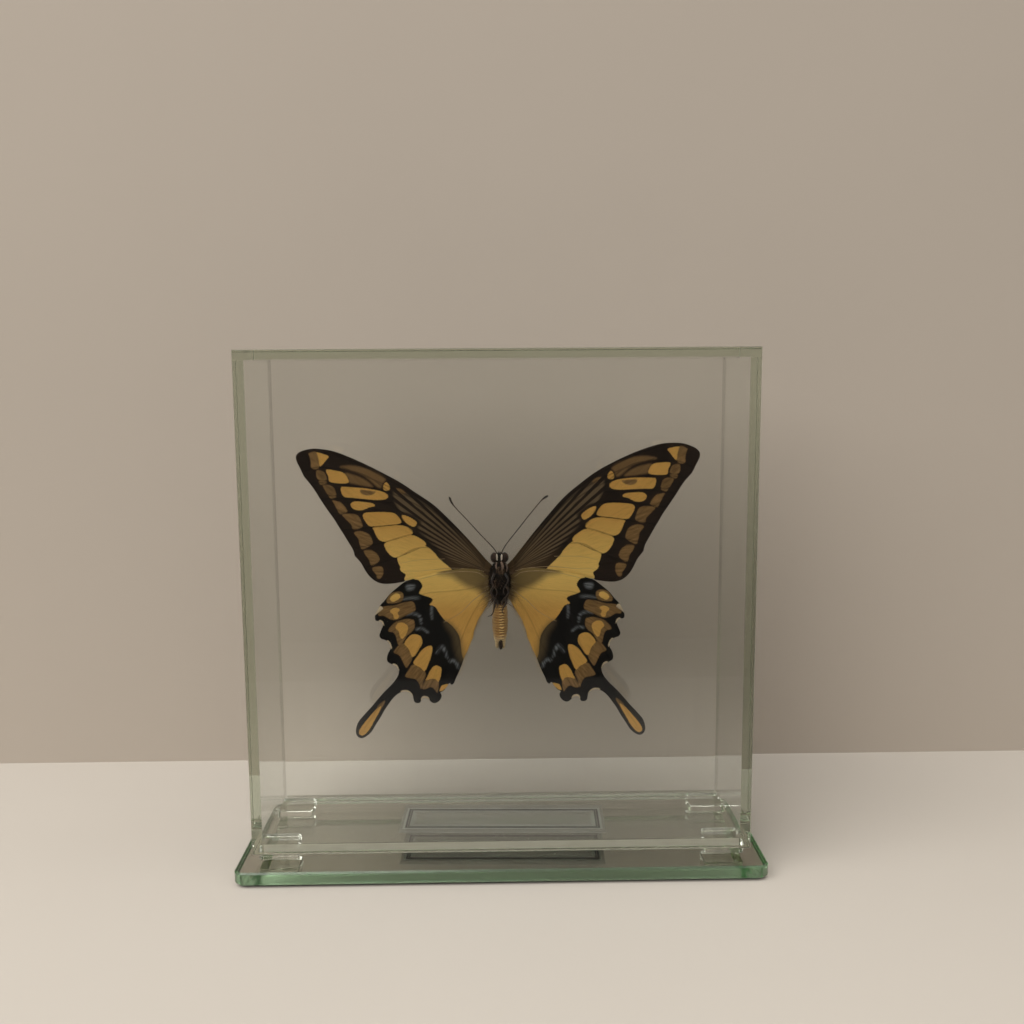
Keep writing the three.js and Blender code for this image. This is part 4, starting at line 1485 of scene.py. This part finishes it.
HINDWING_MARKS: dict[Tone, list[Loop]] = {
    Tone.SMOKE: [
        [(2, 81), (5, 83), (7, 84.3), (10, 85.5), (12.5, 87), (15, 88.7), (19, 89.8), (17, 92.5),
         (8, 93), (2, 91)],
        [(16.7, 74.6), (14.2, 72.8), (12.4, 69.5), (11.4, 64.5), (10.8, 61.5), (12.6, 62), (14, 65),
         (15, 70), (17, 73.4)],
    ],
    Tone.BROWN: [
        [(30.1, 83.3), (31.4, 84), (33.9, 83.3), (35.2, 81.4), (34.8, 80.3), (32, 80.5), (30.2, 81.4)],
        [(27.1, 80.75), (30, 80.5), (32.9, 79.6), (35.4, 79.4), (36.9, 78.8), (38, 77.3), (37.7, 76.3),
         (36.25, 76.3), (34.8, 75.5), (33.3, 75), (31.7, 75.25), (30, 76.1), (27.5, 77.3), (26.25, 78.4)],
        [(26.7, 74.2), (27.1, 75), (29.2, 75.3), (31.7, 74.6), (33.3, 73.8), (35, 71.5), (33.3, 70.9),
         (32.5, 69.4), (32.1, 67.3), (31.25, 66.9), (30.4, 67.75), (29.2, 69.8), (27.5, 71.3),
         (26.7, 72.75)],
        [(29.8, 67.4), (31.7, 66.9), (33.1, 65.25), (33.3, 64.4), (31.7, 63.6), (30.6, 61.5), (29.8, 59.8),
         (29.2, 59.8), (27.5, 63), (28.4, 65.2)],
        [(23.6, 58.2), (25.2, 60.2), (27.5, 60.6), (28.75, 59), (30, 56.9), (28.75, 56.3), (26.7, 55.9),
         (25.6, 54.4), (25, 52.75), (24.4, 54.8), (23.5, 56.9)],
        [(19.4, 55.4), (20.8, 56.6), (22.9, 56.2), (24.2, 54.4), (24.8, 53), (23.75, 52.75), (21.7, 53.4),
         (20.2, 51.9), (19.8, 51.7)],
        [(36.5, 49), (37.5, 48.4), (39, 46.8), (38.6, 45), (38.1, 45.7), (36.9, 47.75)],
    ],
    Tone.YELLOW: [
        [(1, 80), (1, 93), (14, 93.5), (26.7, 90), (26.7, 88), (25, 87.5), (24, 85.7), (25, 83.8),
         (24.6, 83.1), (21.25, 81.9), (21, 80.9), (21.9, 79.8), (20.2, 79.2), (19, 77.3), (17.3, 75),
         (16, 74), (14.6, 72.75), (12.9, 70.25), (12.3, 67.3), (12.1, 64.8), (11.7, 63), (10.4, 61),
         (8, 62), (5, 72)],
        [(31.2, 83.1), (32.3, 83.4), (33.75, 82.5), (34.2, 81.5), (33.3, 80.75), (31.9, 81.3), (31, 82.1)],
        [(31.5, 78.6), (32.9, 78.8), (34.2, 78), (34, 77.3), (33.3, 76.7), (33.1, 75.5), (32.1, 75.3),
         (31.5, 76.1), (31.9, 77.3), (31.25, 78)],
        [(28.75, 72.75), (30, 74), (31.7, 74), (32.7, 72.5), (31.7, 71.3), (31.25, 69.4), (30.4, 69),
         (29.2, 70.7)],
        [(24.6, 69.4), (25.8, 70.25), (27.7, 70.25), (29.4, 68.6), (30, 67.3), (29.2, 66.3), (28.5, 65.25),
         (27.7, 63.2), (26.7, 63.6), (25.4, 65.7), (24.4, 67.5)],
        [(21.25, 65.7), (21.5, 66.7), (22.9, 66.5), (24.6, 65.25), (25.8, 63.6), (27.3, 61.1), (25, 59.6),
         (23.75, 58.6), (22.3, 61.5), (21.5, 64)],
        [(18.5, 59.4), (19.6, 60.3), (20.8, 60.2), (22.1, 58.6), (23.1, 56.5), (23.5, 55.5), (21.7, 56.1),
         (20.2, 55.9), (19.6, 55), (18.75, 56.9)],
        [(16.25, 54.4), (18.3, 54), (19, 53), (19.2, 52.1), (17.9, 52.5)],
        [(37.8, 47.2), (39.5, 45.95), (41.55, 43.65), (43.6, 41.15), (44.8, 39.3), (45, 38.1), (44.2, 37.5),
         (43.1, 37.95), (41.4, 39.95), (39.75, 42.9), (38.2, 45.7)],
    ],
    Tone.BLUE: [
        [(26.5, 86.1), (28.9, 86), (28.8, 84.4), (26.9, 84.6)],
        [(25.2, 82.3), (27.6, 82.2), (30, 81.8), (30, 81.4), (27.6, 81.6), (25.2, 81.7)],
        [(21, 79.2), (21.5, 79), (21.6, 77), (21.4, 75.3), (21, 75.4), (21, 77)],
        [(24.4, 74), (24.7, 76.3), (26.5, 77.3), (29.2, 77.1), (29.2, 76.5), (26.9, 76.6), (25.3, 75.9),
         (24.9, 74)],
        [(22.4, 71.2), (24.2, 72.5), (26.1, 72.2), (26, 71.7), (24.3, 71.9), (22.7, 70.8)],
        [(16.4, 63), (16.9, 65.4), (18.1, 67), (19.6, 65.6), (20.1, 64.3), (19.5, 64.4), (18.4, 65.5),
         (17.5, 64.8), (17, 63)],
        [(13.1, 59.6), (13.2, 61.2), (14.8, 62.5), (16.1, 61.9), (15.8, 61.4), (14.8, 61.6), (13.9, 60.7),
         (13.6, 59.6)],
    ],
    Tone.CREAM: [
        [(22.6, 49.2), (22.8, 50.2), (24.2, 50.5), (25, 49.9), (24.8, 48.9)],
        [(27.6, 50.4), (28.4, 51.8), (29.8, 52.4), (31.4, 52.1), (31.2, 51.4), (29.8, 51.5), (28.4, 50.7)],
        [(31.8, 58.6), (32.4, 60.3), (33.6, 60.9), (34, 60.2), (32.6, 59.2)],
        [(34, 65.6), (34.2, 67.2), (35.2, 68.5), (35.6, 67.8), (34.9, 66.6)],
        [(36.2, 73), (36.6, 74.5), (37.6, 75), (37.9, 74.3), (37, 73.8)],
        [(36.4, 78.6), (37.4, 79.4), (38.6, 77.6), (38.9, 76.6), (37.9, 77.4)],
    ],
}
HINDWING_DARK_VEINS: list[Loop] = [
    [(4.8, 86.2), (10, 84.8), (16, 84.1), (21.7, 83.6), (25, 82.8)],
    [(25, 82.8), (30, 80), (34, 78.6), (38, 76.4)],
    [(25, 82.8), (24.6, 79), (23.4, 75.4)],
    [(24.2, 77), (29, 75.6), (33, 74.4), (36.6, 70.6)],
    [(23.4, 75.4), (27, 71), (30.2, 68.2), (33.9, 62.6)],
    [(21.2, 75), (23.6, 70.6), (26.8, 63.4), (30.8, 57.4), (34, 53)],
    [(17.6, 74.4), (20, 68.2), (22.8, 60), (25.4, 50)],
    [(5, 82.6), (9, 76), (13, 67), (16.6, 60.2), (19.6, 51.4)],
]
HINDWING_PALE_VEINS: list[Loop] = [
    [(4.4, 84.4), (6, 83), (8.5, 81), (12, 77.5), (15, 75.6), (17.6, 74.2)],
    [(4.6, 88.6), (7, 90), (12, 90.3), (18, 89.6), (25, 87.8)],
]
TAIL_VEINS: list[Loop] = [[(34, 53), (38, 47.6), (41.25, 42.75), (43.3, 39.8)]]


def forewings() -> Wing:
    """The pair of forewings."""
    scales = WingScales("forewing scales", order=(Tone.OLIVE, Tone.YELLOW, Tone.BROWN), streaked=True)
    return Wing("forewing", -0.4, FOREWING_OUTLINE, FOREWING_MARKS, FOREWING_DARK_VEINS,
                FOREWING_PALE_VEINS, scales, "dark_scales", cell=FOREWING_CELL, drawn_back=3.0)


def hindwings() -> Wing:
    """The pair of hindwings."""
    order = (Tone.BLUE, Tone.BROWN, Tone.YELLOW, Tone.SMOKE, Tone.CREAM)
    scales = WingScales("hindwing scales", order=order, golden_rise=(76.0, 89.0),
                        ground=(0.0032, 0.0024, 0.0020), vein_shade=0.2)
    return Wing("hindwing", -1.3, HINDWING_OUTLINE, HINDWING_MARKS, HINDWING_DARK_VEINS + TAIL_VEINS,
                HINDWING_PALE_VEINS, scales, "ochre_scales")


# ---------------------------------------------------------------- body


@dataclass(frozen=True)
class Tuft:
    """Hairs that grow from a lobe and are combed one way. Lengths in millimetres."""

    lobe: tuple
    count: int
    length: float
    lay: tuple
    radius: float

    def on(self, side: Side) -> "Tuft":
        """The same tuft, which is written for the right, on either side.

        Args:
            side: the side of the body.

        Returns:
            The tuft for that side.
        """
        (x, y, z), radii = self.lobe
        lay = (side.value * self.lay[0], *self.lay[1:])
        return replace(self, lobe=((side.value * x, y, z), radii), lay=lay)


@dataclass
class Body:
    """The butterfly's body: chest and head in one skin, abdomen, eyes, fur, legs and antennae."""

    chest: tuple = (((0, -2.6, 87.6), (3.1, 3.9, 5.2)), ((0, -2.8, 91.4), (2.3, 2.9, 2.6)),
                    ((0, -2.4, 82.6), (2.3, 3.0, 3.0)), ((-1.2, -3.9, 86.6), (1.6, 2.3, 3.6)),
                    ((1.2, -3.9, 86.6), (1.6, 2.3, 3.6)), ((-2.0, -1.6, 89), (1.2, 2.2, 3.0)),
                    ((2.0, -1.6, 89), (1.2, 2.2, 3.0)))
    head: tuple = ((0, -2.8, 94.7), (1.6, 1.9, 1.8))
    eye: tuple = ((1.55, -3.1, 95.0), (1.25, 1.45, 1.62))
    skin_voxel: float = 0.16
    skin_smoothing: int = 6
    abdomen: tuple = ((0.0, 82.4), (1.9, 81.2), (2.2, 79.6), (2.2, 78.5), (2.35, 78.2), (2.4, 77.1),
                      (2.3, 76.0), (2.45, 75.7), (2.45, 74.6), (2.3, 73.4), (2.4, 73.1), (2.3, 72.0),
                      (2.05, 70.9), (2.1, 70.6), (1.9, 69.4), (1.6, 68.5), (1.45, 68.0), (0.8, 67.4),
                      (0.0, 67.2))
    abdomen_y: float = -2.2
    abdomen_depth: float = 1.15
    abdomen_facets: int = 48
    lump_width: float = 1.1
    lump_height: float = 0.06
    clasper: tuple = ((0.95, -2.7, 68.2), (0.72, 1.3, 1.9))
    tip: tuple = ((0.15, -3.8, 68.0), (0.68, 1.0, 1.8))
    skin: Finish = BodySkin("body skin")
    scales: Finish = AbdomenScales("abdomen scales")
    facets: Finish = CompoundEye("compound eye")
    dark_hair: Finish = Membrane("dark hair", (0.003, 0.002, 0.0014), (0.040, 0.024, 0.012),
                                 330.0, 0.65, gloss=0.12)
    brown_hair: Finish = Membrane("brown hair", (0.085, 0.048, 0.026), (0.220, 0.140, 0.080),
                                  420.0, 0.6, gloss=0.2)
    pale_hair: Finish = Membrane("pale hair", (0.300, 0.190, 0.085), (0.560, 0.420, 0.230), 320.0, 0.6)
    shell: Finish = Membrane("leg shell", (0.012, 0.007, 0.005), (0.075, 0.042, 0.024), 420.0, 0.3)
    tip_shell: Finish = Membrane("tip shell", (0.007, 0.0035, 0.002), (0.028, 0.014, 0.007),
                                 500.0, 0.4, gloss=0.2)
    face_scales: Finish = Membrane("face scales", (0.560, 0.480, 0.380), (0.760, 0.700, 0.600), 900.0, 0.7)
    palp_skin: Finish = Membrane("palp skin", (0.130, 0.075, 0.055), (0.300, 0.200, 0.150), 700.0, 0.6)
    chest_hairs: tuple = (1500, 600, 500, 350, 350, 260, 260)
    chest_hair_length: float = 1.15
    chest_hair_lay: tuple = (0, -0.12, -0.9)
    chest_hair_radius: float = 0.045
    head_tuft: Tuft = Tuft(head, 320, 0.7, (0, -0.5, 0.35), 0.04)
    brown_tufts: tuple = (
        Tuft(((0.3, -5.6, 91.6), (1.1, 0.8, 1.1)), 130, 1.0, (0, -0.3, -0.8), 0.05),
        Tuft(((-0.3, -5.9, 88.4), (1.7, 0.9, 2.2)), 70, 0.9, (0, -0.2, -0.9), 0.045),
        Tuft(((0, -4.4, 81.6), (1.7, 1.3, 0.9)), 110, 1.0, (0, -0.1, -1), 0.045),
    )
    hinge_tuft: Tuft = Tuft(((3.1, -1.7, 84.6), (0.5, 0.6, 3.2)), 90, 2.2, (0.8, -0.1, -0.6), 0.035)
    waist_tuft: Tuft = Tuft(((0, -3.4, 80.4), (1.9, 1.6, 1.2)), 120, 1.1, (0, -0.1, -1), 0.035)
    hair_taper: tuple = (1.0, 0.85, 0.55, 0.15)
    hair_depth: float = 0.1
    hair_upright: float = 1.25
    hair_bends: tuple = (0.55, 0.85, 1.1)
    hair_stray: float = 0.22
    hair_sizes: Point = (0.6, 1.2)
    root_hairs: int = 85
    root_hair_start: Point = (2.2, -2.3)
    root_hair_span: Point = (80.5, 91.0)
    root_hair_sizes: Point = (2.2, 5.6)
    root_hair_radii: tuple = (0.04, 0.03, 0.01)
    root_hair_bow: tuple = (0.0, -0.15, 0.1)
    fan_level: float = 84.5
    fan_spread: float = 5.5  # degrees to a millimetre of height
    fan_tilt: float = -18.0  # degrees
    fan_stray: float = 7.0
    margin: tuple = ((13.4, 57.8), (10.4, 65), (8.1, 71.6), (6.4, 75.8), (3.8, 80))
    margin_y: float = -1.3
    margin_slope: float = 0.05
    margin_hair_radii: tuple = (0.05, 0.035, 0.01)
    margin_hair_sizes: Point = (0.5, 1.3)
    margin_hair_lay: float = 0.75
    margin_hair_stray: float = 0.2
    face_stripes: tuple = ((-0.78, 0.1, 96.3), (0.62, -0.12, 96.2))
    face_stripe_radii: tuple = (0.10, 0.26, 0.30, 0.12)
    leg_bases: tuple = (
        (((0.5, -5.0, 94.0), (0.9, -5.8, 92.7), (0.7, -6.0, 91.4)), 0.5),
        (((1.9, -4.6, 93.3), (2.3, -5.0, 92.2), (2.1, -5.2, 91.0)), 0.3),
        (((-0.9, -5.0, 93.9), (-1.1, -5.6, 92.9), (-0.9, -5.8, 91.9)), 0.3),
    )
    legs: tuple = (
        ((-1.6, -5.6, 90.6), (-2.5, -6.8, 88.2), (-0.9, -7.3, 85.4), (-1.3, -7.2, 83.6)),
        ((1.6, -5.6, 90.6), (2.5, -6.8, 88.6), (1.1, -7.3, 85.8), (1.4, -7.2, 84.2)),
        ((-1.8, -5.8, 86.8), (-2.7, -6.6, 84.6), (-0.7, -7.0, 81.6), (-1.0, -6.3, 79.8)),
        ((1.8, -5.8, 86.8), (2.7, -6.6, 84.9), (0.7, -7.0, 82.0), (1.2, -6.5, 80.4)),
        ((1.4, -5.2, 83.0), (1.9, -5.9, 81.4), (0.7, -5.9, 79.2), (1.0, -5.7, 77.9)),
        ((-1.4, -5.2, 83.0), (-1.7, -5.8, 80.4), (-2.1, -5.5, 78.4), (-2.8, -5.2, 77.4),
         (-3.8, -5.0, 77.0)),
    )
    leg_taper: tuple = ((0, 0.3, 0.36, 0.7, 0.76, 1), (0.36, 0.30, 0.22, 0.20, 0.14, 0.10))
    feelers: tuple = (
        ((-0.6, -3.2, 96.0), (-2.0, -3.3, 98.2), (-6.0, -3.3, 102.5), (-10.0, -3.2, 107.0),
         (-13.3, -3.2, 110.6), (-14.5, -3.2, 112.3), (-15.1, -3.2, 113.9)),
        ((0.4, -3.2, 96.0), (2.0, -3.3, 99.0), (6.0, -3.3, 104.1), (10.0, -3.2, 109.1),
         (12.6, -3.2, 112.2), (13.8, -3.2, 113.3), (15.0, -3.2, 114.0)),
    )
    feeler_taper: tuple = ((0, 0.03, 0.66, 0.84, 0.94, 1), (0.3, 0.18, 0.17, 0.36, 0.38, 0.2))
    chance: random.Random = field(default_factory=lambda: random.Random(7))

    def build(self) -> None:
        """Builds every part of the body."""
        self.build_skin()
        self.build_abdomen()
        self.build_eyes()
        self.build_fur()
        self.build_face()
        self.build_legs()
        self.build_antennae()

    def build_skin(self) -> None:
        """Chest lobes and head, fused into one skin by a voxel remesh."""
        bm = bmesh.new()
        for centre, radii in (*self.chest, self.head):
            ball(bm, centre, radii)
        piece = new_piece("body_skin", bm_mesh(bm, "body_skin"), self.skin, slot="black_fur")
        fuse = piece.modifiers.new("fuse", "REMESH")
        fuse.mode = "VOXEL"
        fuse.voxel_size = self.skin_voxel * MM
        fuse.use_smooth_shade = True
        soften = piece.modifiers.new("soften", "SMOOTH")
        soften.iterations = self.skin_smoothing
        soften.factor = 0.5
        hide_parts("body")

    def build_abdomen(self) -> None:
        """A ringed abdomen spun from its profile, with two blunt claspers and a dark tip."""
        bm = bmesh.new()
        profile = curve_through(list(self.abdomen), 3)
        verts = [bm.verts.new((max(r, 0.0) * MM, 0.0, z * MM)) for r, z in profile]
        edges = [bm.edges.new(pair) for pair in zip(verts, verts[1:])]
        bmesh.ops.spin(bm, geom=verts + edges, cent=(0, 0, 0), axis=(0, 0, 1), angle=2 * math.pi,
                       steps=self.abdomen_facets, use_merge=True)
        bmesh.ops.remove_doubles(bm, verts=bm.verts, dist=0.002 * MM)
        bmesh.ops.scale(bm, vec=(1, self.abdomen_depth, 1), verts=bm.verts)
        bmesh.ops.translate(bm, vec=(0, self.abdomen_y * MM, 0), verts=bm.verts)
        for vert in bm.verts:
            lump = noise.noise(vert.co / (self.lump_width * MM))
            vert.co += vert.normal * lump * self.lump_height * MM
        self.pair(bm, self.clasper, 3)
        bmesh.ops.recalc_face_normals(bm, faces=bm.faces)
        new_piece("abdomen", bm_mesh(bm, "abdomen"), self.scales, slot="black_fur")
        tip = bmesh.new()
        ball(tip, *self.tip, 3)
        new_piece("abdomen_tip", bm_mesh(tip, "abdomen_tip"), self.tip_shell, slot="black_fur")

    def pair(self, bm: bmesh.types.BMesh, lobe: tuple, detail: int = 4) -> None:
        """Adds a ball on each side of the body.

        Args:
            bm: what the balls join.
            lobe: the right ball's centre and radii, in millimetres.
            detail: how often its faces are cut into four.
        """
        (x, y, z), radii = lobe
        for side in Side:
            ball(bm, (side.value * x, y, z), radii, detail)

    def build_eyes(self) -> None:
        """Two large faceted eyes on the sides of the head."""
        bm = bmesh.new()
        self.pair(bm, self.eye)
        new_piece("eyes", bm_mesh(bm, "eyes"), self.facets, slot="black_fur")

    def grow(self, strands: Strands, tuft: Tuft) -> None:
        """Scatters a tuft's hairs over its lobe.

        Args:
            strands: the strands that the hairs join.
            tuft: how the hairs grow.
        """
        centre, radii = (Vector(part) for part in tuft.lobe)
        for _ in range(tuft.count):
            way = Vector([self.chance.gauss(0, 1) for _ in range(3)]).normalized()
            root = centre + Vector([w * r for w, r in zip(way, radii)])
            out = Vector([w / r for w, r in zip(way, radii)]).normalized()
            stray = Vector([self.chance.gauss(0, self.hair_stray) for _ in range(3)])
            size = tuft.length * self.chance.uniform(*self.hair_sizes)
            points = [root - out * self.hair_depth]
            for bend in self.hair_bends:
                step = (out * (self.hair_upright - bend) + Vector(tuft.lay) * bend + stray).normalized()
                points.append(points[-1] + step * size / len(self.hair_bends))
            strands.add(np.array(points), np.array(self.hair_taper) * tuft.radius)

    def root_hair(self, strands: Strands, side: Side) -> None:
        """Lays one long hair from the side of the chest over the root of the wings.

        Args:
            strands: the strands that the hair joins.
            side: the side of the body.
        """
        height = self.chance.uniform(*self.root_hair_span)
        fan = (height - self.fan_level) * self.fan_spread + self.fan_tilt
        fan = math.radians(fan + self.chance.gauss(0, self.fan_stray))
        size = self.chance.uniform(*self.root_hair_sizes)
        start = np.array([side.value * self.root_hair_start[0], self.root_hair_start[1], height])
        reach = np.array([side.value * math.cos(fan), 0.0, math.sin(fan)]) * size
        middle = start + reach * 0.5 + np.array(self.root_hair_bow)
        strands.add(np.array([start, middle, start + reach]), np.array(self.root_hair_radii))

    def margin_hair(self, strands: Strands, side: Side, across: float, height: float) -> None:
        """Lays one short hair over the inner margin of the hindwing.

        Args:
            strands: the strands that the hair joins.
            side: the side of the body.
            across: how far from the middle it starts, in millimetres.
            height: how high it starts, in millimetres.
        """
        start = np.array([side.value * across, self.margin_y + self.margin_slope * across, height])
        size = self.chance.uniform(*self.margin_hair_sizes)
        stray = self.chance.uniform(-self.margin_hair_stray, self.margin_hair_stray)
        reach = np.array([-side.value * self.margin_hair_lay, stray, -self.margin_hair_lay]) * size
        path = np.array([start, start + reach * 0.55, start + reach])
        strands.add(path, np.array(self.margin_hair_radii))

    def build_fur(self) -> None:
        """Short dark hair over the chest and head, and paler hair where the wings and abdomen begin."""
        dark = Strands()
        for lobe, count in zip(self.chest, self.chest_hairs):
            self.grow(dark, Tuft(lobe, count, self.chest_hair_length, self.chest_hair_lay,
                                 self.chest_hair_radius))
        self.grow(dark, self.head_tuft)
        new_piece("chest_fur", dark.mesh(), self.dark_hair, slot="black_fur")
        brown = Strands()
        for tuft in self.brown_tufts:
            self.grow(brown, tuft)
        for side in Side:
            for _ in range(self.root_hairs):
                self.root_hair(brown, side)
        new_piece("brown_hairs", brown.mesh(), self.brown_hair, slot="black_fur")
        pale = Strands()
        for side in Side:
            self.grow(pale, self.hinge_tuft.on(side))
            for across, height in curve_through(list(self.margin), 30):
                self.margin_hair(pale, side, across, height)
        self.grow(pale, self.waist_tuft)
        new_piece("pale_hairs", pale.mesh(), self.pale_hair, slot="ochre_scales")

    def build_face(self) -> None:
        """Two stripes of white scales between the eyes, and the pinkish bases of the front legs."""
        white = Strands(1)
        for x, lean, top in self.face_stripes:
            path = [(x + lean, -4.8, 94.4), (x, -4.95, 94.9), (x, -4.85, 95.6), (x - lean * 0.5, -4.4, top)]
            white.add(curve_through(path, 4), np.interp(range(13), [0, 3, 9, 12], self.face_stripe_radii))
        new_piece("face_stripes", white.mesh(), self.face_scales, slot="ochre_scales")
        skin = Strands(1)
        for path, radius in self.leg_bases:
            line = curve_through(list(path), 4)
            skin.add(line, np.interp(range(len(line)), [0, 4, 8], [0.6, 1.0, 0.5]) * radius)
        new_piece("leg_bases", skin.mesh(), self.palp_skin, slot="black_fur")

    def build_legs(self) -> None:
        """Dried legs folded on the chest, and one hind leg that sticks out to the left."""
        strands = Strands(1)
        for leg in self.legs:
            path = curve_through(list(leg), 5)
            strands.add(path, np.interp(np.linspace(0, 1, len(path)), *self.leg_taper))
        new_piece("legs", strands.mesh(), self.shell, slot="black_fur")

    def build_antennae(self) -> None:
        """Two thin feelers that thicken to blunt clubs."""
        strands = Strands(1)
        for feeler in self.feelers:
            path = curve_through(list(feeler), 10)
            strands.add(path, np.interp(np.linspace(0, 1, len(path)), *self.feeler_taper))
        new_piece("antennae", strands.mesh(), self.shell, slot="black_fur")


def main() -> None:
    """Builds the stage, dresses the case and builds the butterfly."""
    logging.basicConfig(level=logging.INFO, format="%(message)s")
    studio = Studio()
    studio.build_camera()
    studio.build_stage()
    studio.build_light()
    case = DisplayCase()
    case.dress()
    case.build_glass()
    case.build_ground_edges()
    case.build_coat()
    forewings().build()
    hindwings().build()
    Body().build()


if __name__ == "__main__":
    main()
